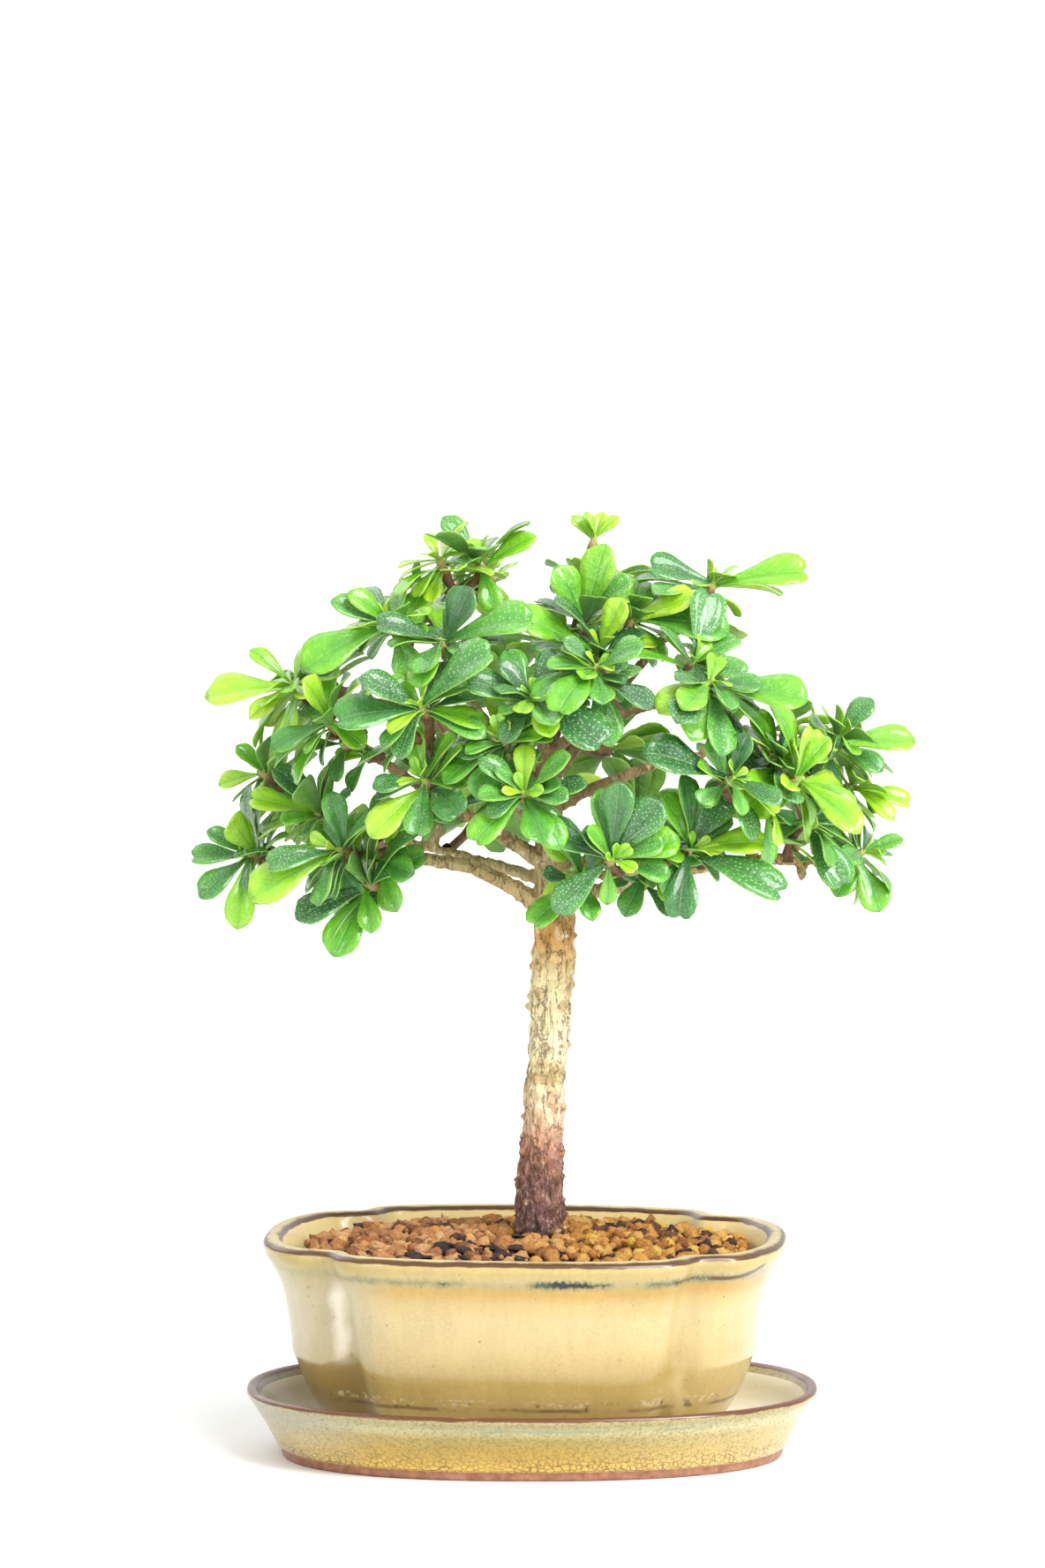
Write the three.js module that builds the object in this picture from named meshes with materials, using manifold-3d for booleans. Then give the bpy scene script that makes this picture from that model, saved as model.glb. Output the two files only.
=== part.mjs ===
import * as THREE from "three";
import { mergeVertices } from "three/addons/utils/BufferGeometryUtils.js";
import Module from "manifold-3d";

// A small fukien tea tree grown as a bonsai, in a lobed glazed pot on an oval saucer.
// Millimetres, +Z up. The origin is the centre of the saucer's flat underside, and the front faces -Y.

const saucerSize = { halfLength: 82, halfDepth: 60, height: 19.6, floor: 5, squareness: 2.3 };
const potSize = {
  halfLength: 75, halfDepth: 59, height: 58.5, squareness: 2.6,
  centreX: -2, notchDepth: 4.8, notchAngle: 38.5, notchWidth: 5.2, turn: -5, drainRadius: 7,
};
const soilSize = { edgeBelowRim: 3.2, crownAboveRim: 1.6, grain: 9.2, relief: 1.7, holeRadius: 7.6 };
const trunkSize = { footX: 2, footBottom: 34, footRadius: 7.1, steps: 10 };
const leafSize = {
  thickness: 0.95, fold: 0.32, shareWide: 0.185, moreWide: 0.06, arch: 0.06, moreArch: 0.14,
};
const twigSize = { rootRadius: 1.25, kneeRadius: 1.5, tipRadius: 0.8, spurLength: 7, shortest: 5 };
const gap = 0.3;
const shortestEdge = 0.01;

const wasm = await Module();
wasm.setup();

const finish = {
  glaze: new THREE.MeshStandardMaterial({ color: 0xe6d49a, roughness: 0.12, metalness: 0 }),
  saucerGlaze: new THREE.MeshStandardMaterial({ color: 0xc9c48e, roughness: 0.15, metalness: 0 }),
  soil: new THREE.MeshStandardMaterial({ color: 0x9a6238, roughness: 0.95, metalness: 0 }),
  bark: new THREE.MeshStandardMaterial({ color: 0x8a6f58, roughness: 0.85, metalness: 0 }),
  leaf: new THREE.MeshStandardMaterial({ color: 0x3f7a2c, roughness: 0.35, metalness: 0 }),
  youngLeaf: new THREE.MeshStandardMaterial({ color: 0x8fbf3a, roughness: 0.4, metalness: 0 }),
};

function seeded(seed) {
  let state = seed >>> 0;
  return function next() {
    state = (state + 0x6d2b79f5) >>> 0;
    let t = state;
    t = Math.imul(t ^ (t >>> 15), t | 1);
    t ^= t + Math.imul(t ^ (t >>> 7), t | 61);
    return ((t ^ (t >>> 14)) >>> 0) / 4294967296;
  };
}

function vec(x, y, z) {
  return new THREE.Vector3(x, y, z);
}

function fromLists(points, index) {
  const geometry = new THREE.BufferGeometry();
  const values = points.flatMap((p) => [p.x, p.y, p.z]);
  geometry.setAttribute("position", new THREE.Float32BufferAttribute(values, 3));
  geometry.setIndex(index);
  return geometry;
}

// Turns every face outward when the enclosed volume comes out negative.
function outward(geometry) {
  const at = geometry.attributes.position;
  const index = Array.from(geometry.index.array);
  const a = vec();
  const b = vec();
  const c = vec();
  let volume = 0;
  for (let i = 0; i < index.length; i += 3) {
    a.fromBufferAttribute(at, index[i]);
    b.fromBufferAttribute(at, index[i + 1]);
    c.fromBufferAttribute(at, index[i + 2]);
    volume += a.dot(b.cross(c));
  }
  if (volume < 0) {
    for (let i = 0; i < index.length; i += 3) {
      [index[i], index[i + 1]] = [index[i + 1], index[i]];
    }
    geometry.setIndex(index);
  }
  return geometry;
}

function toSolid(geometry) {
  const bare = geometry.clone();
  bare.deleteAttribute("normal");
  bare.deleteAttribute("uv");
  const merged = outward(mergeVertices(bare, 1e-4));
  const vertProperties = new Float32Array(merged.attributes.position.array);
  const triVerts = new Uint32Array(merged.index.array);
  return new wasm.Manifold(new wasm.Mesh({ numProp: 3, vertProperties, triVerts }));
}

// The solid's mesh. Very short edges are closed up, and the two faces of a flap that folds flat go.
function toGeometry(solid) {
  const mesh = solid.getMesh();
  const at = Array.from(mesh.vertProperties);
  const home = Array.from({ length: at.length / 3 }, (_, i) => i);
  const find = (i) => (home[i] === i ? i : find(home[i]));
  const index = Array.from(mesh.triVerts);
  for (let i = 0; i < index.length; i += 1) {
    const next = i % 3 === 2 ? i - 2 : i + 1;
    const a = find(index[i]);
    const b = find(index[next]);
    const length = Math.hypot(...[0, 1, 2].map((k) => at[3 * a + k] - at[3 * b + k]));
    if (a !== b && length < shortestEdge) home[b] = a;
  }
  const kept = new Map();
  for (let i = 0; i < index.length; i += 3) {
    const corners = [find(index[i]), find(index[i + 1]), find(index[i + 2])];
    if (new Set(corners).size < 3) continue;
    const key = [...corners].sort((x, y) => x - y).join(" ");
    if (kept.has(key)) kept.delete(key);
    else kept.set(key, corners);
  }
  const geometry = new THREE.BufferGeometry();
  geometry.setAttribute("position", new THREE.Float32BufferAttribute(at, 3));
  geometry.setIndex([...kept.values()].flat());
  return geometry;
}

// Whether each edge is shared by exactly two faces, with points a thousandth apart taken as one.
function isSound(geometry) {
  const uses = new Map();
  const at = geometry.attributes.position;
  const index = geometry.index.array;
  const place = (i) => [at.getX(i), at.getY(i), at.getZ(i)].map((v) => v.toFixed(3)).join(" ");
  for (let i = 0; i < index.length; i += 1) {
    const next = i % 3 === 2 ? i - 2 : i + 1;
    const key = [place(index[i]), place(index[next])].sort().join(" to ");
    uses.set(key, (uses.get(key) ?? 0) + 1);
  }
  return [...uses.values()].every((count) => count === 2);
}

// A closed skin over rows of points with equal counts. The rows end in flat caps, or meet in a ring.
function skin(rows, ring) {
  const count = rows[0].length;
  const points = rows.flat();
  const index = [];
  const bands = ring ? rows.length : rows.length - 1;
  for (let r = 0; r < bands; r += 1) {
    const a = r * count;
    const b = ((r + 1) % rows.length) * count;
    for (let k = 0; k < count; k += 1) {
      const n = (k + 1) % count;
      index.push(a + k, a + n, b + n, a + k, b + n, b + k);
    }
  }
  if (!ring) {
    for (const [start, flip] of [[0, true], [(rows.length - 1) * count, false]]) {
      for (let k = 1; k < count - 1; k += 1) {
        const pair = flip ? [start + k + 1, start + k] : [start + k, start + k + 1];
        index.push(start, ...pair);
      }
    }
  }
  return outward(fromLists(points, index));
}

const group = new THREE.Group();

function addPiece(name, geometry, material) {
  const mesh = new THREE.Mesh(geometry, material);
  mesh.name = name;
  group.add(mesh);
}

// The plan is a rounded oblong. Its corners can be pinched in, which leaves four lobes.
function planRadius(angle, halfLength, halfDepth, squareness, notchDepth) {
  const across = Math.abs(Math.cos(angle)) / halfLength;
  const along = Math.abs(Math.sin(angle)) / halfDepth;
  const plain = (across ** squareness + along ** squareness) ** (-1 / squareness);
  const fromLong = Math.atan(Math.abs(Math.tan(angle)));
  const toNotch = Math.abs(fromLong - THREE.MathUtils.degToRad(potSize.notchAngle));
  const share = toNotch / THREE.MathUtils.degToRad(potSize.notchWidth);
  return plain - notchDepth * Math.exp(-share * share);
}

const potAngles = [0, 13, 24, 31.5, 36, 38.5, 41, 46.5, 60, 75];
const quarters = [0, 1, 2, 3];

// The angles of one quarter, mirrored from each quarter to the next.
function wholeTurn(degrees) {
  const turn = quarters.flatMap((q) => {
    const mirrored = q % 2 === 0 ? degrees : degrees.map((d) => 90 - d).filter((d) => d < 90).reverse();
    return mirrored.map((d) => THREE.MathUtils.degToRad(d + 90 * q));
  });
  return [...new Set(turn.map((a) => a.toFixed(6)))].map(Number).sort((a, b) => a - b);
}

const potTurn = wholeTurn([...potAngles, 90]);

// The pot stands turned a little on its saucer.
function potSpot(angle, radius, z) {
  const turned = angle + THREE.MathUtils.degToRad(potSize.turn);
  return vec(potSize.centreX + radius * Math.cos(turned), radius * Math.sin(turned), z);
}

function potRow([inset, z], notchShare = 1) {
  const length = potSize.halfLength - inset;
  const depth = potSize.halfDepth - inset;
  return potTurn.map((angle) => {
    const notch = potSize.notchDepth * notchShare;
    return potSpot(angle, planRadius(angle, length, depth, potSize.squareness, notch), z);
  });
}

function circleRow(radius, z) {
  return potTurn.map((angle) => potSpot(angle, radius, z));
}

// The pot from its drain hole out under the foot, up the wall, over the lip and down the inside.
const potFoot = saucerSize.floor + gap;
const potInside = [
  { at: [9.4, 50], notch: 0.8 },
  { at: [14, 28], notch: 0.7 },
  { at: [18.5, 14], notch: 0.5 },
  { at: [26, 8], notch: 0.2 },
];

function buildPot() {
  const h = potSize.height;
  const up = (row) => potRow([row.at[0], row.at[1] + potFoot], row.notch);
  const outside = [
    { at: [30, 3], notch: 0.1 },
    { at: [28.5, 0], notch: 0.1 },
    { at: [22, 0], notch: 0.3 },
    { at: [20.5, 3], notch: 0.3 },
    { at: [13.8, 13], notch: 0.6 },
    { at: [8.9, 26], notch: 0.8 },
    { at: [6.4, h - 17.5], notch: 0.9 },
    { at: [3.6, h - 9.5], notch: 1 },
    { at: [1.2, h - 5.6], notch: 1 },
    { at: [0, h - 2.9], notch: 1 },
    { at: [0.9, h - 0.7], notch: 1 },
    { at: [3, h], notch: 1 },
    { at: [5.8, h - 1], notch: 1 },
  ];
  const rows = [circleRow(potSize.drainRadius, potFoot + 3)];
  rows.push(...outside.map(up), ...potInside.map(up), circleRow(potSize.drainRadius, potFoot + 8));
  addPiece("pot", skin(rows, true), finish.glaze);
}

// The saucer from the middle of its underside out, up the flared side and back over the floor.
function buildSaucer() {
  const turn = wholeTurn([0, 11, 22, 33, 44, 56, 68, 79, 90]);
  const s = saucerSize;
  const profile = [
    [11.2, 0], [9.9, 1.2], [9.8, 2.6], [8.9, 3.3], [5.2, 10], [1.1, 16.6],
    [0, s.height - 1.3], [1, s.height], [2.9, s.height - 0.5], [5.2, 14], [9.3, 7.4], [15, s.floor],
  ];
  const row = ([inset, z]) => turn.map((angle) => {
    const r = planRadius(angle, s.halfLength - inset, s.halfDepth - inset, s.squareness, 0);
    return vec(r * Math.cos(angle), r * Math.sin(angle), z);
  });
  addPiece("saucer", skin(profile.map(row), false), finish.saucerGlaze);
}

const rimTop = potFoot + potSize.height;

function soilTop(x, y) {
  const out = Math.hypot((x - potSize.centreX) / potSize.halfLength, y / potSize.halfDepth);
  const rise = soilSize.edgeBelowRim + soilSize.crownAboveRim;
  return rimTop - soilSize.edgeBelowRim + rise * Math.max(0, 1 - out * out * 1.25);
}

// Soil: the pot's filling, with its top raised into grains by a jittered honeycomb of peaks.
function buildSoil() {
  const random = seeded(11);
  const clear = gap / Math.cos(0.35);
  const walls = [
    [rimTop - soilSize.edgeBelowRim, 8.2, 0.85],
    ...potInside.map((row) => [row.at[1] + potFoot, row.at[0], row.notch]),
  ];
  const rows = walls.map(([z, inset, notch], k) => {
    const lift = k === walls.length - 1 ? gap + 0.1 : 0;
    return potRow([inset + clear + 0.25, z + lift], notch);
  });
  const slab = rows[0].map((p) => vec(p.x, p.y, rimTop + 12));
  const body = toSolid(skin([slab, ...rows], false));
  const relief = toSolid(grainField(random));
  const hole = new THREE.CylinderGeometry(soilSize.holeRadius, soilSize.holeRadius, 60, 20);
  hole.rotateX(Math.PI / 2);
  hole.translate(trunkSize.footX, 0, trunkSize.footBottom - gap + 30);
  const soil = body.intersect(relief).subtract(toSolid(hole)).simplify(0.02);
  addPiece("soil", toGeometry(soil), finish.soil);
  return soil;
}

// Peaks at the middle of each honeycomb cell and valleys at its corners.
function grainField(random) {
  const rowStep = Math.sqrt(0.75);
  const step = soilSize.grain / Math.sqrt(3);
  const columns = Math.ceil((potSize.halfLength * 2) / step);
  const lines = Math.ceil((potSize.halfDepth * 2) / (step * rowStep));
  const points = [];
  const index = [];
  for (let j = 0; j <= lines; j += 1) {
    for (let i = 0; i <= columns; i += 1) {
      const shift = j % 2 === 0 ? 0 : 0.5;
      const peak = (i - Math.floor(j / 2) - j + lines * 2 + 300) % 3 === 0;
      const jitter = peak ? 0.5 : 0.3;
      const x = potSize.centreX + (i + shift - columns / 2 + (random() - 0.5) * jitter) * step;
      const y = (j - lines / 2 + (random() - 0.5) * jitter) * step * rowStep;
      const lift = peak ? soilSize.relief * (0.6 + random() * 0.8) : -soilSize.relief * random() * 0.5;
      points.push(vec(x, y, soilTop(x, y) + lift));
    }
  }
  const width = columns + 1;
  for (let j = 0; j < lines; j += 1) {
    for (let i = 0; i < columns; i += 1) {
      const a = j * width + i;
      const b = a + width;
      if (j % 2 === 0) {
        index.push(a, a + 1, b, a + 1, b + 1, b);
      } else {
        index.push(a, a + 1, b + 1, a, b + 1, b);
      }
    }
  }
  return closeBelow(points, index, width, lines + 1, 0);
}

// Closes a sheet of points down to a flat base.
function closeBelow(points, index, width, height, baseZ) {
  const rim = [];
  for (let i = 0; i < width; i += 1) rim.push(i);
  for (let j = 1; j < height; j += 1) rim.push(j * width + width - 1);
  for (let i = width - 2; i >= 0; i -= 1) rim.push((height - 1) * width + i);
  for (let j = height - 2; j > 0; j -= 1) rim.push(j * width);
  const start = points.length;
  for (const k of rim) points.push(vec(points[k].x, points[k].y, baseZ));
  const middle = points.length;
  points.push(vec(potSize.centreX, 0, baseZ));
  rim.forEach((k, n) => {
    const next = (n + 1) % rim.length;
    index.push(k, start + n, rim[next], rim[next], start + n, start + next);
    index.push(start + n, middle, start + next);
  });
  return outward(fromLists(points, index));
}


// A round bar bent along a curve, with its radius given for each share of the length.
function bar(curve, radiusAt, sides, steps) {
  const geometry = new THREE.CylinderGeometry(1, 1, 1, sides, steps);
  const at = geometry.attributes.position;
  const frames = curve.computeFrenetFrames(steps, false);
  const point = vec();
  for (let i = 0; i < at.count; i += 1) {
    const share = at.getY(i) + 0.5;
    const k = Math.round(share * steps);
    const radius = radiusAt(share);
    point.copy(curve.getPointAt(k / steps));
    point.addScaledVector(frames.normals[k], at.getX(i) * radius);
    point.addScaledVector(frames.binormals[k], at.getZ(i) * radius);
    at.setXYZ(i, point.x, point.y, point.z);
  }
  return geometry;
}

// Solids that later pieces must stay clear of, with their boxes for a quick first test.
const taken = [];

function boxOf(solid) {
  const box = solid.boundingBox();
  return new THREE.Box3(vec(...box.min), vec(...box.max));
}

function take(solid, owner) {
  taken.push({ solid, owner, box: boxOf(solid) });
}

function isClear(solid, others = taken) {
  const box = boxOf(solid);
  return !others.some((other) => {
    if (!other.box.intersectsBox(box)) return false;
    const common = solid.intersect(other.solid);
    const touching = !common.isEmpty();
    common.delete();
    return touching;
  });
}

const trunkPath = [
  [2, 0, 72], [2.6, 0.5, 84], [3.6, 0, 104], [5.2, 1, 126], [6.2, 1, 148], [6, 2, 166],
  [4.5, 2, 182], [4, 2, 200], [8, 0, 220], [12, -2, 236],
];
const trunkRadii = [7.1, 6.2, 5.9, 5.8, 6.2, 5.6, 4.3, 3.4, 2.5, 1.5];

// Each branch is a list of points, from its root inside the trunk or a larger branch to its end.
const branches = [
  {
    from: 3.4, to: 1.5,
    path: [[4, 0, 155], [-4, -1, 162.5], [-14, -3, 168.5], [-30, -7, 172], [-48, -9, 174], [-70, 0, 170.5]],
  },
  { from: 3.2, to: 1.5, path: [[7, 0, 159], [20, -6, 163], [37, -13, 168], [60, -10, 172], [82, -2, 171]] },
  { from: 3.0, to: 1.4, path: [[5, 2, 168], [-8, -4, 178], [-26, -8, 189], [-44, -7, 201], [-58, -5, 212]] },
  { from: 2.9, to: 1.4, path: [[5, 2, 172], [20, -4, 180], [40, -11, 189], [60, -11, 194], [79, -1, 197]] },
  { from: 2.6, to: 1.3, path: [[4, 2, 188], [-8, -4, 205], [-20, -8, 220], [-27, -5, 236], [-22, -2, 248]] },
  { from: 2.6, to: 1.3, path: [[5, 2, 192], [18, -2, 210], [28, -4, 224], [38, -1, 235], [47, 3, 241]] },
  { from: 2.2, to: 1.2, path: [[4, 1, 200], [2, -12, 207], [1, -26, 213], [5, -34, 217]] },
  { from: 2.2, to: 1.2, path: [[6, 0, 200], [18, -14, 211], [32, -24, 217], [44, -28, 219]] },
  { from: 2.4, to: 1.2, path: [[6, 0, 166], [12, -16, 168], [19, -32, 170], [38, -32, 173]] },
  { from: 2.4, to: 1.2, path: [[5, 0, 175], [0, -18, 182], [-4, -34, 190], [-5, -38, 200]] },
  { from: 1.9, to: 1.1, path: [[-20, -7, 186], [-27, -20, 190], [-29, -30, 203], [-29, -32, 210]] },
  { from: 1.9, to: 1.1, path: [[34, -9, 187], [46, -22, 189], [54, -32, 191], [66, -26, 193]] },
  { from: 2.6, to: 1.2, path: [[5, 3, 164], [-14, 24, 168], [-36, 40, 172], [-52, 40, 176]] },
  { from: 2.6, to: 1.2, path: [[6, 3, 166], [22, 26, 171], [42, 42, 176], [54, 44, 184]] },
  { from: 2.5, to: 1.2, path: [[4, 3, 182], [0, 26, 188], [-4, 46, 193], [-4, 54, 204]] },
  { from: 2.2, to: 1.2, path: [[4, 2, 202], [8, 20, 216], [16, 34, 229], [18, 38, 238]] },
  { from: 2.4, to: 1.2, path: [[4, 2, 190], [-18, 18, 202], [-38, 26, 213], [-54, 26, 216]] },
  { from: 2.4, to: 1.2, path: [[5, 2, 186], [30, 18, 195], [56, 26, 200], [72, 26, 201]] },
  { from: 1.6, to: 1.1, path: [[-46, -8, 172], [-60, 4, 182], [-68, 8, 188]] },
  { from: 1.6, to: 1.1, path: [[42, -1, 236], [46, 14, 238], [48, 24, 240]] },
  { from: 1.6, to: 1.1, path: [[-24, -4, 238], [-20, 12, 244], [-14, 22, 246]] },
];

// Warts and cut stubs on the trunk: height, angle round it and radius.
const knots = [
  [92, 200, 1.6], [99, 340, 1.5], [107, 250, 1.8], [113, 30, 1.7], [119, 300, 1.5],
  [127, 210, 1.9], [133, 350, 1.6], [139, 270, 1.5], [144, 160, 2.2], [150, 310, 2.6],
];

// Leaf tufts that the front shows: where each one sits, then its marked leaves.
// A leaf is the angle of its run seen from the front, its lean to the front, and its length.
const tufts = [
  { at: [14, -4, 234], leaves: [[78, 15, 25], [112, 20, 19], [51, 25, 19]] },
  { at: [18, -18, 229], leaves: [[145, 25, 28], [69, 20, 17]] },
  { at: [27, -6, 237], leaves: [[31, 20, 21], [3, 25, 28]] },
  { at: [50, 4, 247], leaves: [[17, 10, 28], [158, 15, 20], [-55, 30, 22], [43, -10, 13]] },
  { at: [-25, -2, 253], leaves: [[-127, 25, 22], [111, 0, 10], [22, -15, 15]], young: true },
  { at: [-14, 3, 252], leaves: [[37, 10, 18], [-71, 35, 15], [125, 0, 16]] },
  { at: [-38, -12, 236], leaves: [[131, 20, 17], [150, 30, 19], [-163, 25, 28], [-153, 10, 29]] },
  { at: [-24, -22, 232], leaves: [[70, 25, 20], [28, 25, 28], [154, 25, 20]] },
  { at: [-29, -34, 215], leaves: [[144, 25, 22], [179, 20, 26], [49, 30, 29]] },
  { at: [-65, -4, 219], leaves: [[176, 5, 26], [-151, 25, 16], [135, 0, 15]], young: true },
  { at: [-55, -18, 210], leaves: [[114, 20, 19], [-165, 25, 18], [-26, 35, 15]] },
  { at: [0, -38, 218], leaves: [[152, 25, 21], [121, 20, 14], [-26, 35, 28]] },
  { at: [17, -36, 226], leaves: [[-75, 45, 22], [36, 30, 17], [132, 25, 13]] },
  { at: [42, -20, 228], leaves: [[-3, 25, 17], [-66, 40, 15], [41, 10, 22]] },
  { at: [48, -32, 222], leaves: [[10, 25, 16], [-5, 20, 28], [-161, 40, 20]] },
  { at: [67, -22, 199], leaves: [[138, 25, 29], [112, 30, 19]] },
  { at: [72, -28, 195], leaves: [[59, 15, 16], [-16, 25, 19], [-32, 30, 27], [-142, 30, 13]], young: true },
  { at: [83, 0, 203], leaves: [[9, 5, 24], [-23, 30, 17], [56, 5, 15]] },
  { at: [88, 6, 190], leaves: [[-7, 5, 19], [-31, 25, 16]], young: true },
  { at: [75, -12, 182], leaves: [[-52, 30, 22], [-170, 30, 13]] },
  { at: [90, -2, 172], leaves: [[-65, 25, 18], [26, 5, 13], [-126, 30, 16]] },
  { at: [41, -34, 177], leaves: [[-14, 25, 29], [11, 15, 23], [-99, 40, 22], [113, 15, 18]] },
  { at: [53, -38, 196], leaves: [[108, 20, 14], [73, 20, 15], [154, 25, 28], [-20, 35, 17]] },
  { at: [21, -42, 175], leaves: [[147, 25, 23], [86, 20, 23]] },
  { at: [13, -28, 168], leaves: [[-147, 35, 21], [-72, 60, 15]], young: true },
  { at: [31, -16, 170], leaves: [[-123, 30, 15], [-56, 40, 12]] },
  { at: [-2, -46, 193], leaves: [[-147, 35, 21], [128, 30, 12], [4, 40, 15]] },
  { at: [-7, -38, 206], leaves: [[180, 30, 14], [-119, 35, 19], [24, 40, 13]] },
  { at: [-28, -32, 195], leaves: [[-142, 25, 23], [-101, 45, 19], [180, 25, 15]] },
  { at: [-51, -22, 175], leaves: [[101, 15, 18], [-159, 15, 29], [-176, 20, 21]] },
  { at: [-57, -6, 183], leaves: [[126, 15, 20], [177, 35, 13], [160, 5, 20]] },
  {
    at: [-76, 0, 171],
    leaves: [[113, 10, 13], [148, 10, 16], [173, 10, 18], [-146, 20, 19], [-100, 35, 22]],
  },
  { at: [-43, -16, 165], leaves: [[-164, 20, 24], [-122, 30, 23], [37, 20, 20], [-78, 40, 15]] },
  { at: [-74, 12, 193], leaves: [[128, 10, 12], [-174, 10, 13], [60, 0, 12]] },
  {
    at: [17, 3, 258.5], young: true,
    leaves: [[100, 0, 10], [74, 0, 10], [126, 10, 9.5], [48, 0, 9.5], [92, 45, 9.5], [84, -42, 9.5]],
  },
  // The back half of the crown, which the front hides.
  { at: [-68, 30, 186], leaves: [] },
  { at: [-44, 50, 170], leaves: [] },
  { at: [-30, 54, 196], leaves: [] },
  { at: [-60, 30, 216], leaves: [] },
  { at: [-36, 36, 233], leaves: [] },
  { at: [-8, 62, 186], leaves: [] },
  { at: [-6, 54, 214], leaves: [] },
  { at: [-12, 28, 248], leaves: [], young: true },
  { at: [17, 44, 242], leaves: [] },
  { at: [22, 62, 196], leaves: [] },
  { at: [30, 54, 176], leaves: [] },
  { at: [48, 40, 224], leaves: [] },
  { at: [56, 52, 190], leaves: [] },
  { at: [78, 32, 202], leaves: [], young: true },
  { at: [80, 24, 178], leaves: [] },
  { at: [-16, 46, 178], leaves: [] },
  { at: [46, 24, 244], leaves: [] },
  { at: [10, 22, 226], leaves: [] },
];
const crownCentre = vec(4, 4, 186);

// The crown seen from the front and a little above, which leaves without a mark don't grow past:
// its underside and its top for each step along X, and its left and right ends for each step along Z.
const crownShape = {
  step: 10, tilt: 0.1, fromX: -95, fromZ: 145,
  low: [
    176, 158, 153, 159, 149, 153, 168, 176, 178, 174, 165, 167, 168, 168, 164, 166, 167, 180, 174, 163, 175,
  ],
  high: [
    218, 225, 225, 232, 242, 251, 259, 263, 263, 261, 258, 259, 265, 257, 255, 246, 238, 224, 213, 210, 208,
  ],
  left: [-57, -82, -88, -92, -86, -79, -76, -84, -78, -65, -55, -41, -30, -12],
  right: [98, 98, 99, 101, 99, 104, 104, 80, 62, 59, 62, 50, 24, 24],
};

// A tuft faces out and a little up. Leaves without a mark open round it in a spiral.
// Lengths are in millimetres and angles in degrees.
const growth = {
  flatten: 0.8, rise: 0.45, leaves: 6, tries: 24, turn: 137.5, widest: 88, narrowing: 4, narrowest: 24,
  longest: 21, shortening: 0.7, shortest: 10, young: 0.85,
};

function curveOf(path) {
  return new THREE.CatmullRomCurve3(path.map((p) => vec(...p)), false, "centripetal");
}

// The tuft faces out from the crown's middle and a little up.
function facing(tuft) {
  const out = vec(...tuft.at).sub(crownCentre);
  out.set(out.x, out.y, out.z * growth.flatten).normalize();
  return out.add(vec(0, 0, growth.rise)).normalize();
}

// Points along the spines, nearest to this place first. A spine is a list of points.
function nearestOnSpines(place, spines) {
  const points = [];
  for (const spine of spines) {
    for (let k = 1; k < spine.length; k += 1) {
      for (const share of [0.1, 0.35, 0.6, 0.85, 1]) {
        points.push(spine[k - 1].clone().lerp(spine[k], share));
      }
    }
  }
  return points.sort((p, q) => p.distanceTo(place) - q.distanceTo(place));
}

function spineOf(curve, steps) {
  return Array.from({ length: steps + 1 }, (_, k) => curve.getPointAt(k / steps));
}

function buildWood() {
  const parts = [];
  const trunkCurve = curveOf(trunkPath);
  const foot = new THREE.CylinderGeometry(trunkSize.footRadius, trunkSize.footRadius, 40, 10);
  foot.rotateX(Math.PI / 2);
  foot.translate(trunkSize.footX, 0, trunkSize.footBottom + 20);
  parts.push(toSolid(foot));
  const last = trunkRadii.length - 1;
  const trunkRadius = (share) => {
    const k = Math.min(last - 1, Math.floor(share * last));
    return THREE.MathUtils.lerp(trunkRadii[k], trunkRadii[k + 1], share * last - k);
  };
  parts.push(toSolid(bar(trunkCurve, trunkRadius, 8, trunkSize.steps)));
  const spines = [spineOf(trunkCurve, trunkSize.steps)];
  for (const branch of branches) {
    const root = nearestOnSpines(vec(...branch.path[0]), spines)[0];
    const steps = branch.path.length;
    const curve = curveOf([root.toArray(), ...branch.path.slice(1)]);
    const radius = (share) => THREE.MathUtils.lerp(branch.from, branch.to, share ** 0.7);
    parts.push(toSolid(bar(curve, radius, 5, steps)));
    spines.push(spineOf(curve, steps));
  }
  for (const [z, angle, radius] of knots) {
    const middle = nearestOnSpines(vec(4, 0, z), [spines[0]])[0];
    const turn = THREE.MathUtils.degToRad(angle);
    const knot = new THREE.IcosahedronGeometry(radius, 0);
    knot.scale(1, 1, 1.4);
    knot.translate(middle.x + 5 * Math.cos(turn), middle.y + 5 * Math.sin(turn), z);
    parts.push(toSolid(knot));
  }
  parts.forEach((part) => take(part, "wood"));
  const wood = wasm.Manifold.union(parts).simplify(0.3);
  addPiece("trunk_and_branches", toGeometry(wood), finish.bark);
  return { wood, spines };
}

// A leaf blade is a base point, rows of left edge, upper rib, right edge and lower rib, and a tip.
const bladeRows = {
  marked: [{ t: 0.4, wide: 0.55 }, { t: 0.7, wide: 1 }, { t: 0.92, wide: 0.8 }],
  filling: [{ t: 0.48, wide: 0.72 }, { t: 0.84, wide: 1 }],
};

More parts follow.
